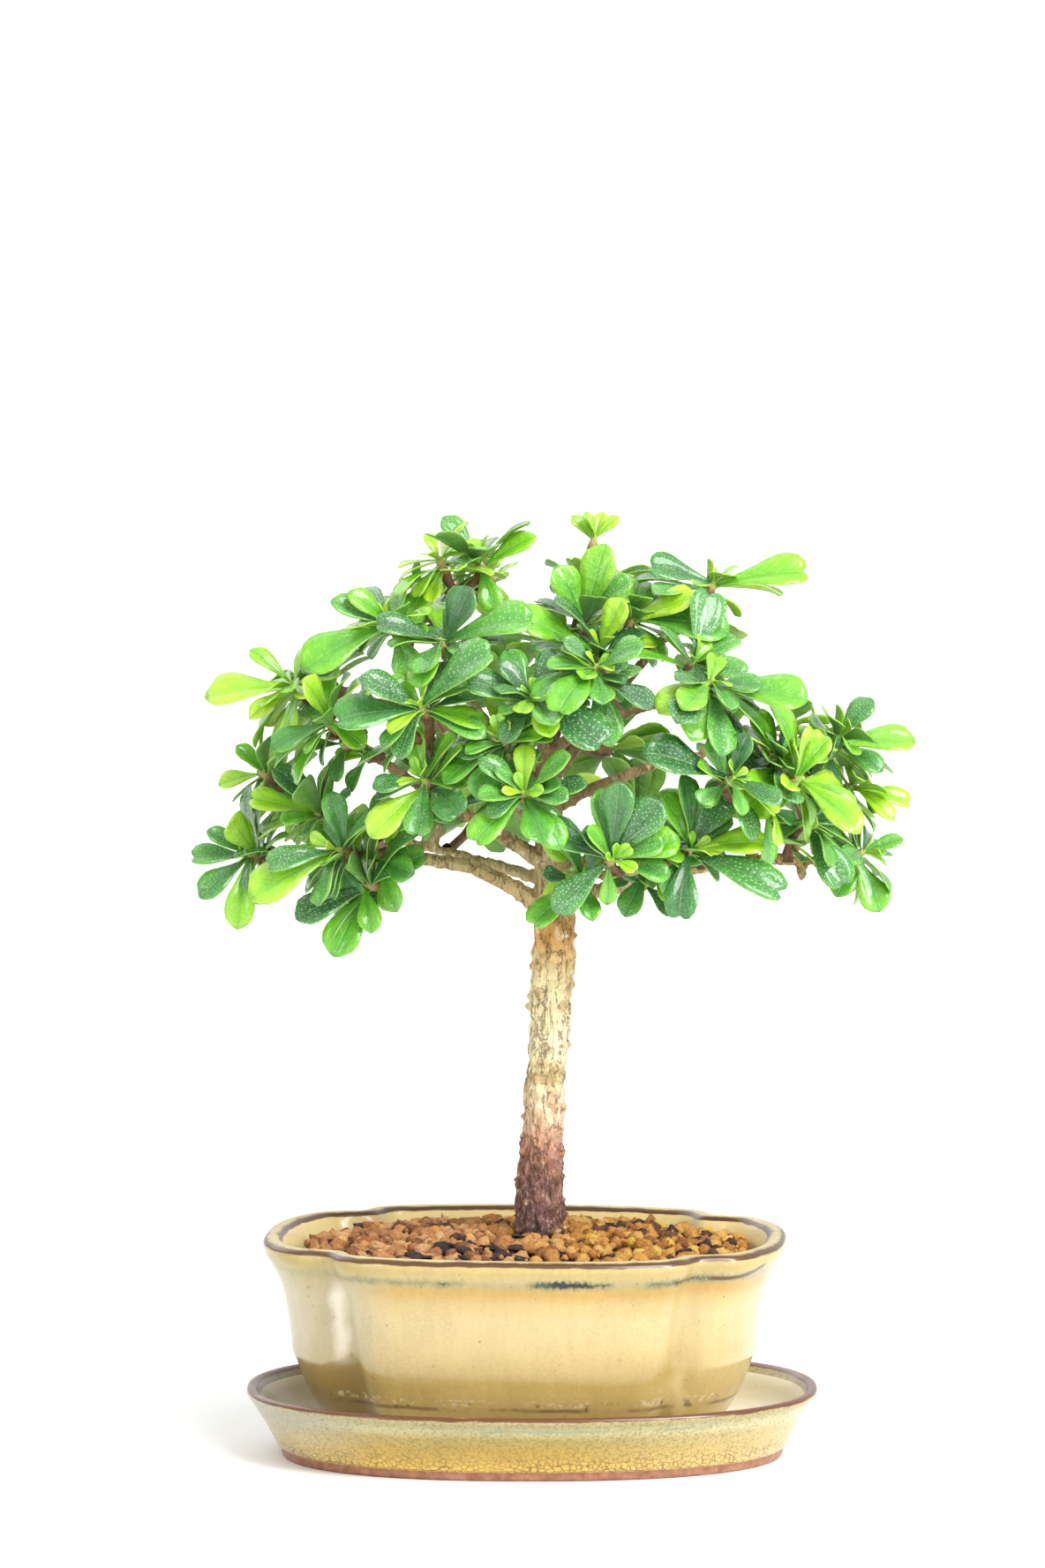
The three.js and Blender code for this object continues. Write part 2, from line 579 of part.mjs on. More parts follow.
function blade(leaf, grow = 0, from = 0) {
  const side = leaf.dir.clone().cross(leaf.up).normalize();
  const up = side.clone().cross(leaf.dir).normalize();
  const spine = (t) => leaf.base.clone()
    .addScaledVector(leaf.dir, leaf.length * t)
    .addScaledVector(up, -leaf.length * leaf.arch * t * t);
  const points = [spine(from)];
  const rows = bladeRows[leaf.rows];
  rows.forEach((row, k) => {
    const half = leaf.halfWidth * row.wide + grow;
    const outer = leaf.notched && k === rows.length - 1;
    const edge = spine(outer ? 1 : row.t).addScaledVector(up, half * leafSize.fold);
    const rib = spine(outer ? 0.86 : row.t);
    points.push(edge.clone().addScaledVector(side, -half));
    points.push(rib.clone().addScaledVector(up, grow));
    points.push(edge.clone().addScaledVector(side, half));
    points.push(rib.clone().addScaledVector(up, -leafSize.thickness - grow));
  });
  const tip = points.push(spine(leaf.notched ? 0.93 : 1 + grow / leaf.length)) - 1;
  const index = [0, 2, 1, 0, 3, 2, 0, 1, 4, 0, 4, 3];
  for (let a = 1; a + 7 < tip; a += 4) {
    const [l, t, r, b] = [a, a + 1, a + 2, a + 3];
    const [l2, t2, r2, b2] = [a + 4, a + 5, a + 6, a + 7];
    index.push(l, t, t2, l, t2, l2, r, t2, t, r, r2, t2);
    index.push(l, b2, b, l, l2, b2, r, b, b2, r, b2, r2);
  }
  const [l, t, r, b] = [tip - 4, tip - 3, tip - 2, tip - 1];
  index.push(l, t, tip, t, r, tip, l, tip, b, b, tip, r);
  return fromLists(points, index);
}

// The value of a list of heights or widths that start at `from` and are a step apart.
function readShape(list, from, place) {
  const share = THREE.MathUtils.clamp((place - from) / crownShape.step, 0, list.length - 1.001);
  const k = Math.floor(share);
  return THREE.MathUtils.lerp(list[k], list[k + 1], share - k);
}

function staysInCrown(leaf) {
  const tip = leaf.base.clone().addScaledVector(leaf.dir, leaf.length);
  const seen = tip.z + tip.y * crownShape.tilt;
  const { fromX, fromZ, low, high, left, right } = crownShape;
  return seen > readShape(low, fromX, tip.x) && seen < readShape(high, fromX, tip.x)
    && tip.x > readShape(left, fromZ, seen) && tip.x < readShape(right, fromZ, seen);
}

function growTuft(tuft, n, pass) {
  const random = tuft.random;
  const axis = facing(tuft);
  const start = tuft.place;
  const onSpur = (share) => start.clone().addScaledVector(axis, twigSize.spurLength * share);
  const tryLeaf = (leaf) => {
    const fat = toSolid(blade(leaf, 0.35, 0.3));
    if (!isClear(fat, taken.filter((t) => t.owner !== `blade ${n}`))) return false;
    const real = toSolid(blade(leaf));
    if (!isClear(real, taken.filter((t) => !t.owner.endsWith(` ${n}`)))) return false;
    tuft.blades.push(real);
    take(real, `blade ${n}`);
    take(fat, `room ${n}`);
    return true;
  };
  const makeLeaf = (dir, share, length, upward) => {
    const young = tuft.young ? growth.young : 1;
    return {
      base: onSpur(share),
      dir: dir.clone().normalize(),
      up: upward,
      rows: pass,
      length,
      halfWidth: length * young * (leafSize.shareWide + leafSize.moreWide * random()),
      arch: leafSize.arch + leafSize.moreArch * random(),
      notched: pass === "marked" && length > 17 && random() < 0.45,
    };
  };
  if (pass === "marked") {
    tuft.leaves.forEach(([angle, lean, length], k) => {
      const a = THREE.MathUtils.degToRad(angle);
      const b = THREE.MathUtils.degToRad(lean);
      const share = 0.35 + 0.5 * (k / Math.max(1, tuft.leaves.length));
      for (const turn of [0, 8, -8, 16, -16]) {
        const tilt = b + THREE.MathUtils.degToRad(turn);
        const dir = vec(Math.cos(a) * Math.cos(tilt), -Math.sin(tilt), Math.sin(a) * Math.cos(tilt));
        const leaf = makeLeaf(dir, share, length, vec(0, -0.75, 0.75));
        if (tryLeaf(leaf)) break;
      }
    });
    return;
  }
  const across = Math.abs(axis.z) > 0.9 ? vec(1, 0, 0) : vec(0, 0, 1);
  const u = axis.clone().cross(across).normalize();
  const v = axis.clone().cross(u);
  const phase = random() * 360;
  for (let k = 0; k < growth.tries && tuft.blades.length < growth.leaves; k += 1) {
    const turn = THREE.MathUtils.degToRad(phase + growth.turn * k + 20 * (random() - 0.5));
    const opening = Math.max(growth.narrowest, growth.widest - growth.narrowing * k);
    const spread = THREE.MathUtils.degToRad(opening + 18 * (random() - 0.5));
    const dir = axis.clone().multiplyScalar(Math.cos(spread));
    dir.addScaledVector(u, Math.cos(turn) * Math.sin(spread));
    dir.addScaledVector(v, Math.sin(turn) * Math.sin(spread));
    dir.z += 0.08;
    const grown = tuft.blades.length;
    const full = (growth.longest - growth.shortening * grown) * (tuft.young ? growth.young : 1);
    const length = Math.max(growth.shortest, full * (0.75 + 0.4 * random()));
    const up = axis.clone().add(vec(0, 0, 0.5));
    const leaf = makeLeaf(dir, 0.3 + 0.07 * grown, length, up);
    if (staysInCrown(leaf)) tryLeaf(leaf);
  }
}

// A square twig through two or three stations, each a place and the direction that it faces.
function twigBar(stations) {
  const first = stations[0].dir;
  const last = stations[stations.length - 1].dir;
  const across = first.clone().cross(last);
  if (across.length() < 0.05) across.copy(first).cross(vec(0.3, 0.2, 1));
  const rows = stations.map(({ at, dir, radius }) => {
    const u = across.clone().addScaledVector(dir, -across.dot(dir)).normalize();
    const v = dir.clone().cross(u);
    return [0, 1, 2, 3].map((k) => {
      const turn = (Math.PI / 2) * k + 0.4;
      const p = at.clone().addScaledVector(u, radius * Math.cos(turn));
      return p.addScaledVector(v, radius * Math.sin(turn));
    });
  });
  return toSolid(skin(rows, false));
}

// Seats the tuft's twig on the branch that it can reach, a gap away from the bark.
function seatTwig(tuft, wood, spines) {
  const axis = facing(tuft);
  for (const root of nearestOnSpines(vec(...tuft.at), spines).slice(0, 60)) {
    tuft.place = vec(...tuft.at);
    const short = twigSize.shortest - root.distanceTo(tuft.place);
    if (short > 0) tuft.place.addScaledVector(axis, short);
    const out = tuft.place.clone().sub(root).normalize();
    const tip = tuft.place.clone().addScaledVector(axis, twigSize.spurLength);
    for (let off = 1; off < 6; off += 0.1) {
      const start = root.clone().addScaledVector(out, off);
      const twig = twigBar([
        { at: start, dir: out, radius: twigSize.rootRadius },
        { at: tuft.place, dir: axis, radius: twigSize.kneeRadius },
        { at: tip, dir: axis, radius: twigSize.tipRadius },
      ]);
      const space = twig.minGap(wood, 2);
      if (space > gap + 0.25) break;
      if (space >= gap && isClear(twig)) {
        tuft.twig = twig;
        return;
      }
    }
  }
  throw new Error(`no seat for the tuft at ${tuft.at}`);
}

function buildTufts({ wood, spines }) {
  tufts.forEach((tuft, n) => {
    tuft.random = seeded(100 + n);
    tuft.blades = [];
    seatTwig(tuft, wood, spines);
    take(tuft.twig, `twig ${n}`);
  });
  tufts.forEach((tuft, n) => growTuft(tuft, n, "marked"));
  tufts.forEach((tuft, n) => growTuft(tuft, n, "filling"));
  tufts.forEach((tuft, n) => {
    const name = `leafy_twig_${String(n + 1).padStart(2, "0")}`;
    const joined = () => toGeometry(wasm.Manifold.union([tuft.twig, ...tuft.blades]).simplify(0.05));
    let geometry = joined();
    while (!isSound(geometry)) {
      tuft.blades.pop();
      geometry = joined();
    }
    addPiece(name, geometry, tuft.young ? finish.youngLeaf : finish.leaf);
  });
}

buildSaucer();
buildPot();
const soil = buildSoil();
take(soil, "soil");
buildTufts(buildWood());

export default group;
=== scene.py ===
import itertools
import math
import random

import bmesh
import bpy
import numpy as np
from mathutils import Matrix, Vector, noise
from mathutils.bvhtree import BVHTree
from mathutils.kdtree import KDTree


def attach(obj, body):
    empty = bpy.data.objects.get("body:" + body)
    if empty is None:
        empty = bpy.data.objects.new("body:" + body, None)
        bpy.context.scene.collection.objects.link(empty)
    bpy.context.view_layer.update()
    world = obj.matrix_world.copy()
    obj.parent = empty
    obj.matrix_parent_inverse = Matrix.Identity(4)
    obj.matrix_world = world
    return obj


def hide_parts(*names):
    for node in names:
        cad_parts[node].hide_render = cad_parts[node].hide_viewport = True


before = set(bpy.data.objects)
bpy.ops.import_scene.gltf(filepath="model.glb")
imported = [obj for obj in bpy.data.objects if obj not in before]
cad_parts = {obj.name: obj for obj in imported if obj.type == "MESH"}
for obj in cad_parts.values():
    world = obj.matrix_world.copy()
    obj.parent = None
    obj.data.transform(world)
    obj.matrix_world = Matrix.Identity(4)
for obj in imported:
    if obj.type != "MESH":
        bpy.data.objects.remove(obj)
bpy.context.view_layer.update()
mm = 0.001
up = Vector((0, 0, 1))


# Small helpers for objects and nodes
def newObject(name, data):
    made = bpy.data.objects.new(name, data)
    bpy.context.scene.collection.objects.link(made)
    return made


def meshFrom(bm, name):
    mesh = bpy.data.meshes.new(name)
    bm.to_mesh(mesh)
    bm.free()
    return mesh


def newPiece(name, bm, materials, nodes=(), smooth=True):
    mesh = meshFrom(bm, name)
    for material in materials:
        mesh.materials.append(material)
    if smooth:
        mesh.shade_smooth()
    else:
        mesh.shade_flat()
    piece = newObject(name, mesh)
    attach(piece, "root")
    if nodes:
        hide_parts(*nodes)
    return piece


def cadCopy(node):
    bm = bmesh.new()
    bm.from_mesh(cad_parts[node].data)
    bmesh.ops.remove_doubles(bm, verts=bm.verts[:], dist=1e-6)
    return bm


def treeOf(points):
    tree = KDTree(len(points))
    for k, p in enumerate(points):
        tree.insert(p, k)
    tree.balance()
    return tree


def paint(code):
    # "rrggbb" as Blender's linear colour
    parts = [int(code[k:k + 2], 16) / 255 for k in (0, 2, 4)]
    return [c / 12.92 if c <= 0.04045 else ((c + 0.055) / 1.055) ** 2.4 for c in parts] + [1]


class Wire:
    # a shader node's output; a sum, difference or product of wires is a Math node
    def __init__(self, tree, socket):
        self.tree = tree
        self.socket = socket

    def calc(self, operation, a, b=0.0, clamp=False):
        return addNode(self.tree, "Math", {0: a, 1: b}, operation=operation, use_clamp=clamp)

    def __add__(self, other):
        return self.calc("ADD", self, other)

    def __sub__(self, other):
        return self.calc("SUBTRACT", self, other)

    def __rsub__(self, other):
        return self.calc("SUBTRACT", other, self)

    def __mul__(self, other):
        return self.calc("MULTIPLY", self, other)

    def __abs__(self):
        return self.calc("ABSOLUTE", self)


def addNode(tree, kind, values=None, output=0, **settings):
    # a value is a wire, a colour code or a plain number or vector
    node = tree.nodes.new("ShaderNode" + kind)
    for name, value in settings.items():
        setattr(node, name, value)
    for name, value in (values or {}).items():
        if isinstance(value, Wire):
            tree.links.new(value.socket, node.inputs[name])
        else:
            node.inputs[name].default_value = paint(value) if isinstance(value, str) else value
    return Wire(tree, node.outputs[output])


def attribute(place, name):
    return addNode(place.tree, "Attribute", output="Fac", attribute_name=name)


def ramp(factor, stops):
    # stops are places with colour codes or greys
    made = addNode(factor.tree, "ValToRGB", {0: factor})
    elements = made.socket.node.color_ramp.elements
    while len(elements) < len(stops):
        elements.new(1)
    for element, (place, code) in zip(elements, stops):
        element.position = place
        element.color = paint(code) if isinstance(code, str) else (code, code, code, 1)
    return made


def above(value, low, high):
    # 0 up to low, 1 from high on
    return addNode(value.tree, "MapRange", {"Value": value, "From Min": low, "From Max": high})


def under(value, low, high):
    return 1.0 - above(value, low, high)


def band(value, middle, width):
    # 1 at the middle, 0 a width away from it
    away = abs(value - middle)
    return value.calc("SUBTRACT", 1.0, value.calc("DIVIDE", away, width), clamp=True)


def heightRamp(height, low, high, stops):
    # stops are in millimetres above the floor
    return ramp(above(height, low, high), [((z - low) / (high - low), code) for z, code in stops])


def blendOver(amount, below, over, how="MIX"):
    return addNode(below.tree, "Mix", {0: amount, 6: below, 7: over}, 2, data_type="RGBA", blend_type=how)


def noiseOf(place, scale, detail=3.0, rough=0.5, warp=0.0):
    values = {"Vector": place, "Scale": scale, "Detail": detail, "Roughness": rough, "Distortion": warp}
    return addNode(place.tree, "TexNoise", values)


def spots(place, scale, low, high, detail=3.0, rough=0.5):
    # noise cut off into spots
    return above(noiseOf(place, scale, detail, rough), low, high)


def swing(place, scale, detail=3.0, rough=0.5, most=1.0):
    # noise that goes both ways from zero
    return (noiseOf(place, scale, detail, rough) - 0.5) * most


def partsOf(vector):
    node = addNode(vector.tree, "SeparateXYZ", {0: vector}).socket.node
    return [Wire(vector.tree, socket) for socket in node.outputs]


def inMillimeters(place):
    return [part * (1 / mm) for part in partsOf(place)]


def stretched(place, z):
    # draws a pattern out along Z
    return addNode(place.tree, "Mapping", {"Vector": place, "Scale": (1, 1, z)})


def newMaterial(name, **sockets):
    material = bpy.data.materials.new(name)
    material.use_nodes = True
    tree = material.node_tree
    shader = tree.nodes["Principled BSDF"]
    for socket, value in sockets.items():
        shader.inputs[socket.replace("_", " ")].default_value = value
    return material, shader, addNode(tree, "TexCoord", output="Object")


def finishWith(shader, color, bump, strength, distance):
    tree = color.tree
    tree.links.new(color.socket, shader.inputs["Base Color"])
    relief = addNode(tree, "Bump", {"Height": bump, "Strength": strength, "Distance": distance * mm})
    tree.links.new(relief.socket, shader.inputs["Normal"])


# Camera: far away with a long lens, looking a little down on the pot
view = {"place": (-2.77, -2600, 451), "pitch": 5.67, "lens": 210.2, "sensor": 36, "farthest": 200}

lens = bpy.data.cameras.new("camera")
lens.lens = view["lens"]
lens.sensor_width = view["sensor"]
lens.clip_end = view["farthest"]
camera = newObject("camera", lens)
camera.location = Vector(view["place"]) * mm
camera.rotation_euler = (math.radians(90 - view["pitch"]), 0, 0)
bpy.context.scene.camera = camera

# Glazes: colour by height, tide line, crackle, specks, drips and a rust line along the lip
potGlaze = {
    "low": 4, "high": 64,
    # the lighter stop at 58 mm, above the drips, is partly pale glaze and partly a painted highlight along the lip
    "colors": [(5, "6a5426"), (12, "93793f"), (17, "cdb274"), (21, "ccb070"), (24.5, "c0a565"), (27, "b79c5b"),
               (31, "bda468"), (37, "c9b179"), (46, "cdb783"), (51, "cbb173"), (53.8, "c6a154"), (55.4, "c2a158"),
               (56.8, "bfae78"), (58, "c9b67e"), (60.5, "bba564"), (64, "cdb97c")],
    # where the left lobe differs: how far along X it fades out, and its own colours
    "side": (-50, -38),
    "sideColors": [(5, "554522"), (12, "715a28"), (19, "846a31"), (27, "8f763a"), (29.6, "9c854c"), (30.4, "bba97c"),
                   (38, "bcae88"), (48, "beb28c"), (54, "b8a980"), (57.2, "b3a674"), (60.5, "b09c5a"), (64, "c9b374")],
    # painted shade: the flutes are made a little browner and darker, as the shade in their hollows; how much on the
    # left and on the right
    "fluteShadeTint": "93825c", "fluteShadeMix": (0.14, 0.16),
    "sway": 8, "calm": (40, 52), "fluteRise": 4.5,
    # the right end is paler low down: from and to along X, heights where it fades, how much and its colour
    "pale": (44, 58, 29, 36, 0.4, "efdba4"),
    "rimLine": 62.75, "rimWidth": 1.0, "dripLine": 57.1, "dripWidth": 1.7, "dripAt": 4, "dripReach": 78,
    "rust": "4a2213", "drip": "3c5544", "dripCore": "191f27", "crackle": "8a7438",
    "speck": "6b5526", "grain": 0.1,
    "crackleSize": 520, "crackleMix": 0.16, "crackleHeights": (70, 71), "crackleTop": 0, "crackleCover": (0.36, 0.6),
}
saucerGlaze = {
    "low": 0, "high": 20,
    "colors": [(2.6, "edcb60"), (4.2, "dfba50"), (6, "c7a448"), (9, "b5983f"), (12.6, "ab964b"), (15.2, "c2b984"),
               (17, "a8a070"), (19.6, "b5a468")],
    # its left end is paler
    "side": (-66, -44),
    "sideColors": [(2.6, "dcc078"), (6, "cab37c"), (10, "b9ab7e"), (14, "a6a184"), (17, "a09c80"), (19.6, "b5a878")],
    "fluteShadeTint": "93825c", "fluteShadeMix": (0, 0),
    "sway": 2.2, "calm": (15, 18), "fluteRise": 0,
    # painted light: the saucer's right end is made paler below the rim band, as where the light falls on it
    "pale": (10, 76, 16, 18, 0.38, "f6e8b8"),
    "rimLine": 19.2, "rimWidth": 0.9, "dripLine": 15.6, "dripWidth": 0.9, "dripAt": 0, "dripReach": 120,
    "rust": "5c2a0e", "drip": "959a7c", "dripCore": "8b9478", "crackle": "5f4a1b",
    "speck": "6b5526", "grain": 0.42,
    "crackleSize": 560, "crackleMix": 0.95, "crackleHeights": (4, 9), "crackleTop": 0.14, "crackleCover": (0.2, 0.45),
}
# Only on the pot: painted light on the inside wall, a brown run along the right lobe, a pale run down the right flute
# and a painted highlight down the left one, and a crusty line at the foot with a painted shadow under it
potMarks = {
    "run": (49, 67), "runLow": 56.9, "runColor": "57301c", "inside": "fbe0a0",
    "crust": 21.6, "saucerRimShadow": "55352a", "crumb": "e6dab8", "burn": "463016",
    # place along X, width, lower and upper end, how much, and colour
    "paleRunAndHighlight": [(41.5, 3.0, -4, 34, 0.42, "dccb92"), (-54.5, 2.8, 30, 56, 0.5, "fff8e6")],
}
# Only on the saucer: its bare clay foot, and its floor and inner walls made paler, partly the floor's own glaze and
# partly painted light reaching into the saucer
saucerMarks = {
    "bareTop": 2.6, "dark": "87563f", "light": "ad7a60", "edge": "5f4424", "floorTop": 17.0, "floor": "eee6cc",
}


def glazeMaterial(name, look, marks):
    material, shader, place = newMaterial(name, Roughness=0.34, Coat_Weight=0.4, Coat_Roughness=0.07)
    x, y, z = inMillimeters(place)
    # colours by height, wavy low down
    flute = fluteShare(x, y)
    sway = swing(place, 38, 4, most=look["sway"]) - flute * look["fluteRise"]
    height = z + sway * under(z, *look["calm"])
    color = heightRamp(height, look["low"], look["high"], look["colors"])
    side = heightRamp(height, look["low"], look["high"], look["sideColors"])
    color = blendOver(above(x + sway, *look["side"]), side, color)
    # painted shade down the flutes, blended across the pot from the left amount to the right one
    left, right = look["fluteShadeMix"]
    values = {"Value": x, "From Min": -30.0, "From Max": 30.0, "To Min": left, "To Max": right}
    color = blendOver(flute * addNode(place.tree, "MapRange", values), color, look["fluteShadeTint"])
    start, end, low, high, most, code = look["pale"]
    color = blendOver(above(x, start, end) * under(z, low, high) * most, color, code)
    # clouds, and veils that run down
    color = blendOver(0.5, color, ramp(noiseOf(place, 60, 5, 0.6), [(0.35, 0.84), (0.65, 1.0)]), "MULTIPLY")
    color = blendOver(0.6, color, ramp(noiseOf(stretched(place, 0.12), 420), [(0.35, 0.9), (0.6, 1.0)]), "MULTIPLY")
    # crackle, fine grain and brown specks
    values = {"Vector": place, "Scale": look["crackleSize"]}
    cracks = addNode(place.tree, "TexVoronoi", values, feature="DISTANCE_TO_EDGE")
    fine = under(cracks, 0.0, 0.1) * spots(place, 45, *look["crackleCover"], 2)
    fade = z.calc("SUBTRACT", 1 + look["crackleTop"], above(z, *look["crackleHeights"]), clamp=True)
    fine = fine * (fade * look["crackleMix"])
    color = blendOver(fine, color, look["crackle"])
    color = blendOver(spots(place, 1300, 0.5, 0.62, 2) * look["grain"], color, look["crackle"])
    color = blendOver(spots(place, 560, 0.72, 0.76, 2) * 0.6, color, look["speck"])
    # feathered drips under the lip, nearly black where a run is thick
    wobble = z + swing(place, 130, most=1.1)
    feather = swing(stretched(place, 0.1), 900, 2, most=2.4)
    broken = spots(place, 52, 0.44, 0.56, 2) * band(x, look["dripAt"], look["dripReach"])
    drips = band(wobble + feather, look["dripLine"], look["dripWidth"])
    drips = z.calc("MULTIPLY", drips, broken * 1.1 + 0.16, clamp=True)
    color = blendOver(drips, color, look["drip"])
    core = above(drips, 0.45, 0.8) * spots(place, 75, 0.47, 0.56, 2)
    color = blendOver(core, color, look["dripCore"])
    rim = band(wobble, look["rimLine"], look["rimWidth"]) * spots(place, 95, 0.1, 0.42)
    color = blendOver(above(rim, 0.12, 0.5) * 0.94, color, look["rust"])
    color = marks(shader, color, place, (x, y, z), wobble)
    finishWith(shader, color, noiseOf(place, 120, 2) - fine * 0.1, 0.12, 0.8)
    return material


def fluteShare(x, y):
    # 1 down the middle of a flute, 0 out on the lobes
    turn = x.calc("ARCTAN2", y, x - pot["center"]) - math.radians(pot["turn"])
    fromLong = x.calc("ARCTANGENT", abs(x.calc("TANGENT", turn)))
    return band(fromLong, math.radians(pot["notchAngle"]), math.radians(8))


def markPot(shader, color, place, axes, wobble):
    # painted light: the inside wall is made lighter and warmer where it faces in, below the rim line, as the light that
    # reaches into the pot
    x, y, _ = axes
    facing = partsOf(addNode(place.tree, "NewGeometry", output="Normal"))
    inner = under(x * facing[0] + y * facing[1], -25, -5) * 0.5
    inner = inner * x.calc("LESS_THAN", wobble, potGlaze["rimLine"] - 0.5)
    color = blendOver(inner, color, potMarks["inside"])
    # a bowed brown run on the right lobe
    front = y.calc("LESS_THAN", y, 0.0)
    start, end = potMarks["run"]
    middle = (start + end) / 2
    within = above(band(x, middle, (end - start) / 2), 0.02, 0.2) * front
    bow = x.calc("POWER", x - (middle - 3.5), 2.0)
    run = above(band(wobble - bow * 0.018, potMarks["runLow"], 0.8), 0.1, 0.5)
    color = blendOver(run * (within * 0.85), color, potMarks["runColor"])
    # the first is a pale glaze run down the right flute, the second a painted highlight, a whitish streak down the left
    # flute
    leaning = x + swing(place, 90, most=7.0)
    for away, wide, low, high, most, code in potMarks["paleRunAndHighlight"]:
        pale = above(band(leaning, away, wide), 0.0, 0.8)
        pale = pale * above(band(wobble, (low + high) / 2, (high - low) / 2), 0.0, 0.4)
        color = blendOver(pale * front * most, color, code)
    # the crust at the foot: pale crumbs and burnt spots, with a band of painted shadow in patches under it, where the
    # saucer's rim meets the pot
    crust = potMarks["crust"]
    saucerRimShadowBand = above(band(wobble, crust - 2.1, 0.8), 0.0, 0.7) * spots(place, 70, 0.4, 0.5)
    color = blendOver(saucerRimShadowBand * 0.6, color, potMarks["saucerRimShadow"])
    crumbs = spots(place, 520, 0.5, 0.58, 4, 0.6) * above(band(wobble, crust, 1.3), 0.0, 0.5)
    crumbs = crumbs * spots(place, 60, 0.42, 0.52, 2)
    color = blendOver(crumbs * 0.65, color, potMarks["crumb"])
    burns = spots(place, 240, 0.6, 0.66, 3, 0.6) * band(wobble, crust - 1.2, 2.2)
    return blendOver(burns * 0.85, color, potMarks["burn"])


def markSaucer(shader, color, place, axes, wobble):
    z = axes[2]
    top = saucerMarks["bareTop"]
    # the floor and the upward-facing inner walls are made paler: partly the floor's own pale glaze, partly painted
    # light
    upward = partsOf(addNode(place.tree, "NewGeometry", output="Normal"))[2]
    floor = above(upward, 0.15, 0.6) * z.calc("LESS_THAN", z, saucerMarks["floorTop"])
    color = blendOver(floor * 0.92, color, saucerMarks["floor"])
    edge = z + swing(place, 300, 2, most=0.5)
    color = blendOver(band(edge, top + 0.3, 0.4) * 0.5, color, saucerMarks["edge"])
    bare = under(edge, top - 0.08, top + 0.08)
    clay = ramp(noiseOf(place, 400, 4), [(0.3, saucerMarks["dark"]), (0.7, saucerMarks["light"])])
    place.tree.links.new((bare * 0.5 + 0.3).socket, shader.inputs["Roughness"])
    return blendOver(bare, color, clay)


# Pot and saucer: a lobed plan lofted ring by ring through their profiles
pot = {
    "center": -2, "halfLength": 75, "halfDepth": 59, "squareness": 2.6, "foot": 5.3,
    "turn": -5, "notchDepth": 5.6, "notchAngle": 38.5, "notchWidth": 5.4, "drain": 7,
    # how far in from the rim's plan, height above the foot, share of the notch, and how far in at the end lobes
    # where those have a small ledge
    "outside": [(30, 3, 0.1), (28.7, 0, 0.1), (22, 0, 0.3), (20.6, 1.2, 0.3), (20.2, 3, 0.35), (17.3, 7, 0.45),
                (13.8, 13, 0.6), (12, 16.6, 0.7), (10.7, 20, 0.75, 10.6), (9.9, 22.6, 0.78, 9.7), (9.5, 24, 0.8, 9.2),
                (9.2, 25.2, 0.8, 8.5), (8.9, 26.6, 0.8, 8.4), (8.3, 30, 0.85, 8.1), (7.4, 35, 0.88), (6.4, 41, 0.9),
                (5.2, 45.4, 0.95), (3.6, 49, 1), (2.5, 51, 1), (1.4, 52.7, 1)],
    "endLobes": (0.78, 0.9),
    "lip": [(0.5, 54, 1), (0, 55.6, 1), (0.2, 57, 1), (1.1, 58.1, 1), (3, 58.6, 1), (4.8, 58.2, 1), (5.9, 57, 1)],
    "inside": [(7.2, 54.5, 0.9), (9.4, 50, 0.8), (14, 28, 0.7), (18.5, 14, 0.5), (26, 8, 0.2)],
    "floor": 8,
}
saucer = {
    "halfLength": 82, "halfDepth": 60, "squareness": 2.3,
    "profile": [(11.2, 0.3), (10.6, 0), (10.1, 0.5), (9.9, 1.2), (9.8, 2.6), (8.9, 3.3), (7.3, 6.1), (5.2, 10),
                (3.1, 13.4), (1.1, 16.6), (0.3, 17.6), (0, 18.4), (0.3, 19.3), (1.1, 19.6), (2.2, 19.5), (3, 18.9),
                (5.2, 14), (7.2, 10.4), (9.3, 7.4), (11.6, 5.7), (15, 5)],
}


def planRadius(shape, angle, inset, notch=0.0):
    # a soft rectangle, set in from the rim's plan, with a notch at each flute
    power = shape["squareness"]
    across = abs(math.cos(angle)) / (shape["halfLength"] - inset)
    along = abs(math.sin(angle)) / (shape["halfDepth"] - inset)
    plain = (across ** power + along ** power) ** (-1 / power)
    fromLong = math.degrees(math.atan2(abs(math.sin(angle)), abs(math.cos(angle))))
    return plain - notch * math.exp(-((fromLong - pot["notchAngle"]) / pot["notchWidth"]) ** 2)


def potRing(inset, height, share, endInset=None):
    def place(angle):
        turned = angle - math.radians(pot["turn"])
        away = inset
        if endInset is not None:
            away += (endInset - inset) * float(np.interp(abs(math.cos(turned)), pot["endLobes"], (0, 1)))
        radius = planRadius(pot, turned, away, pot["notchDepth"] * share)
        return Vector((pot["center"] + radius * math.cos(angle), radius * math.sin(angle), height + pot["foot"]))
    return place


def roundRing(radius, height, center=0.0):
    return lambda angle: Vector((center + radius * math.cos(angle), radius * math.sin(angle), height))


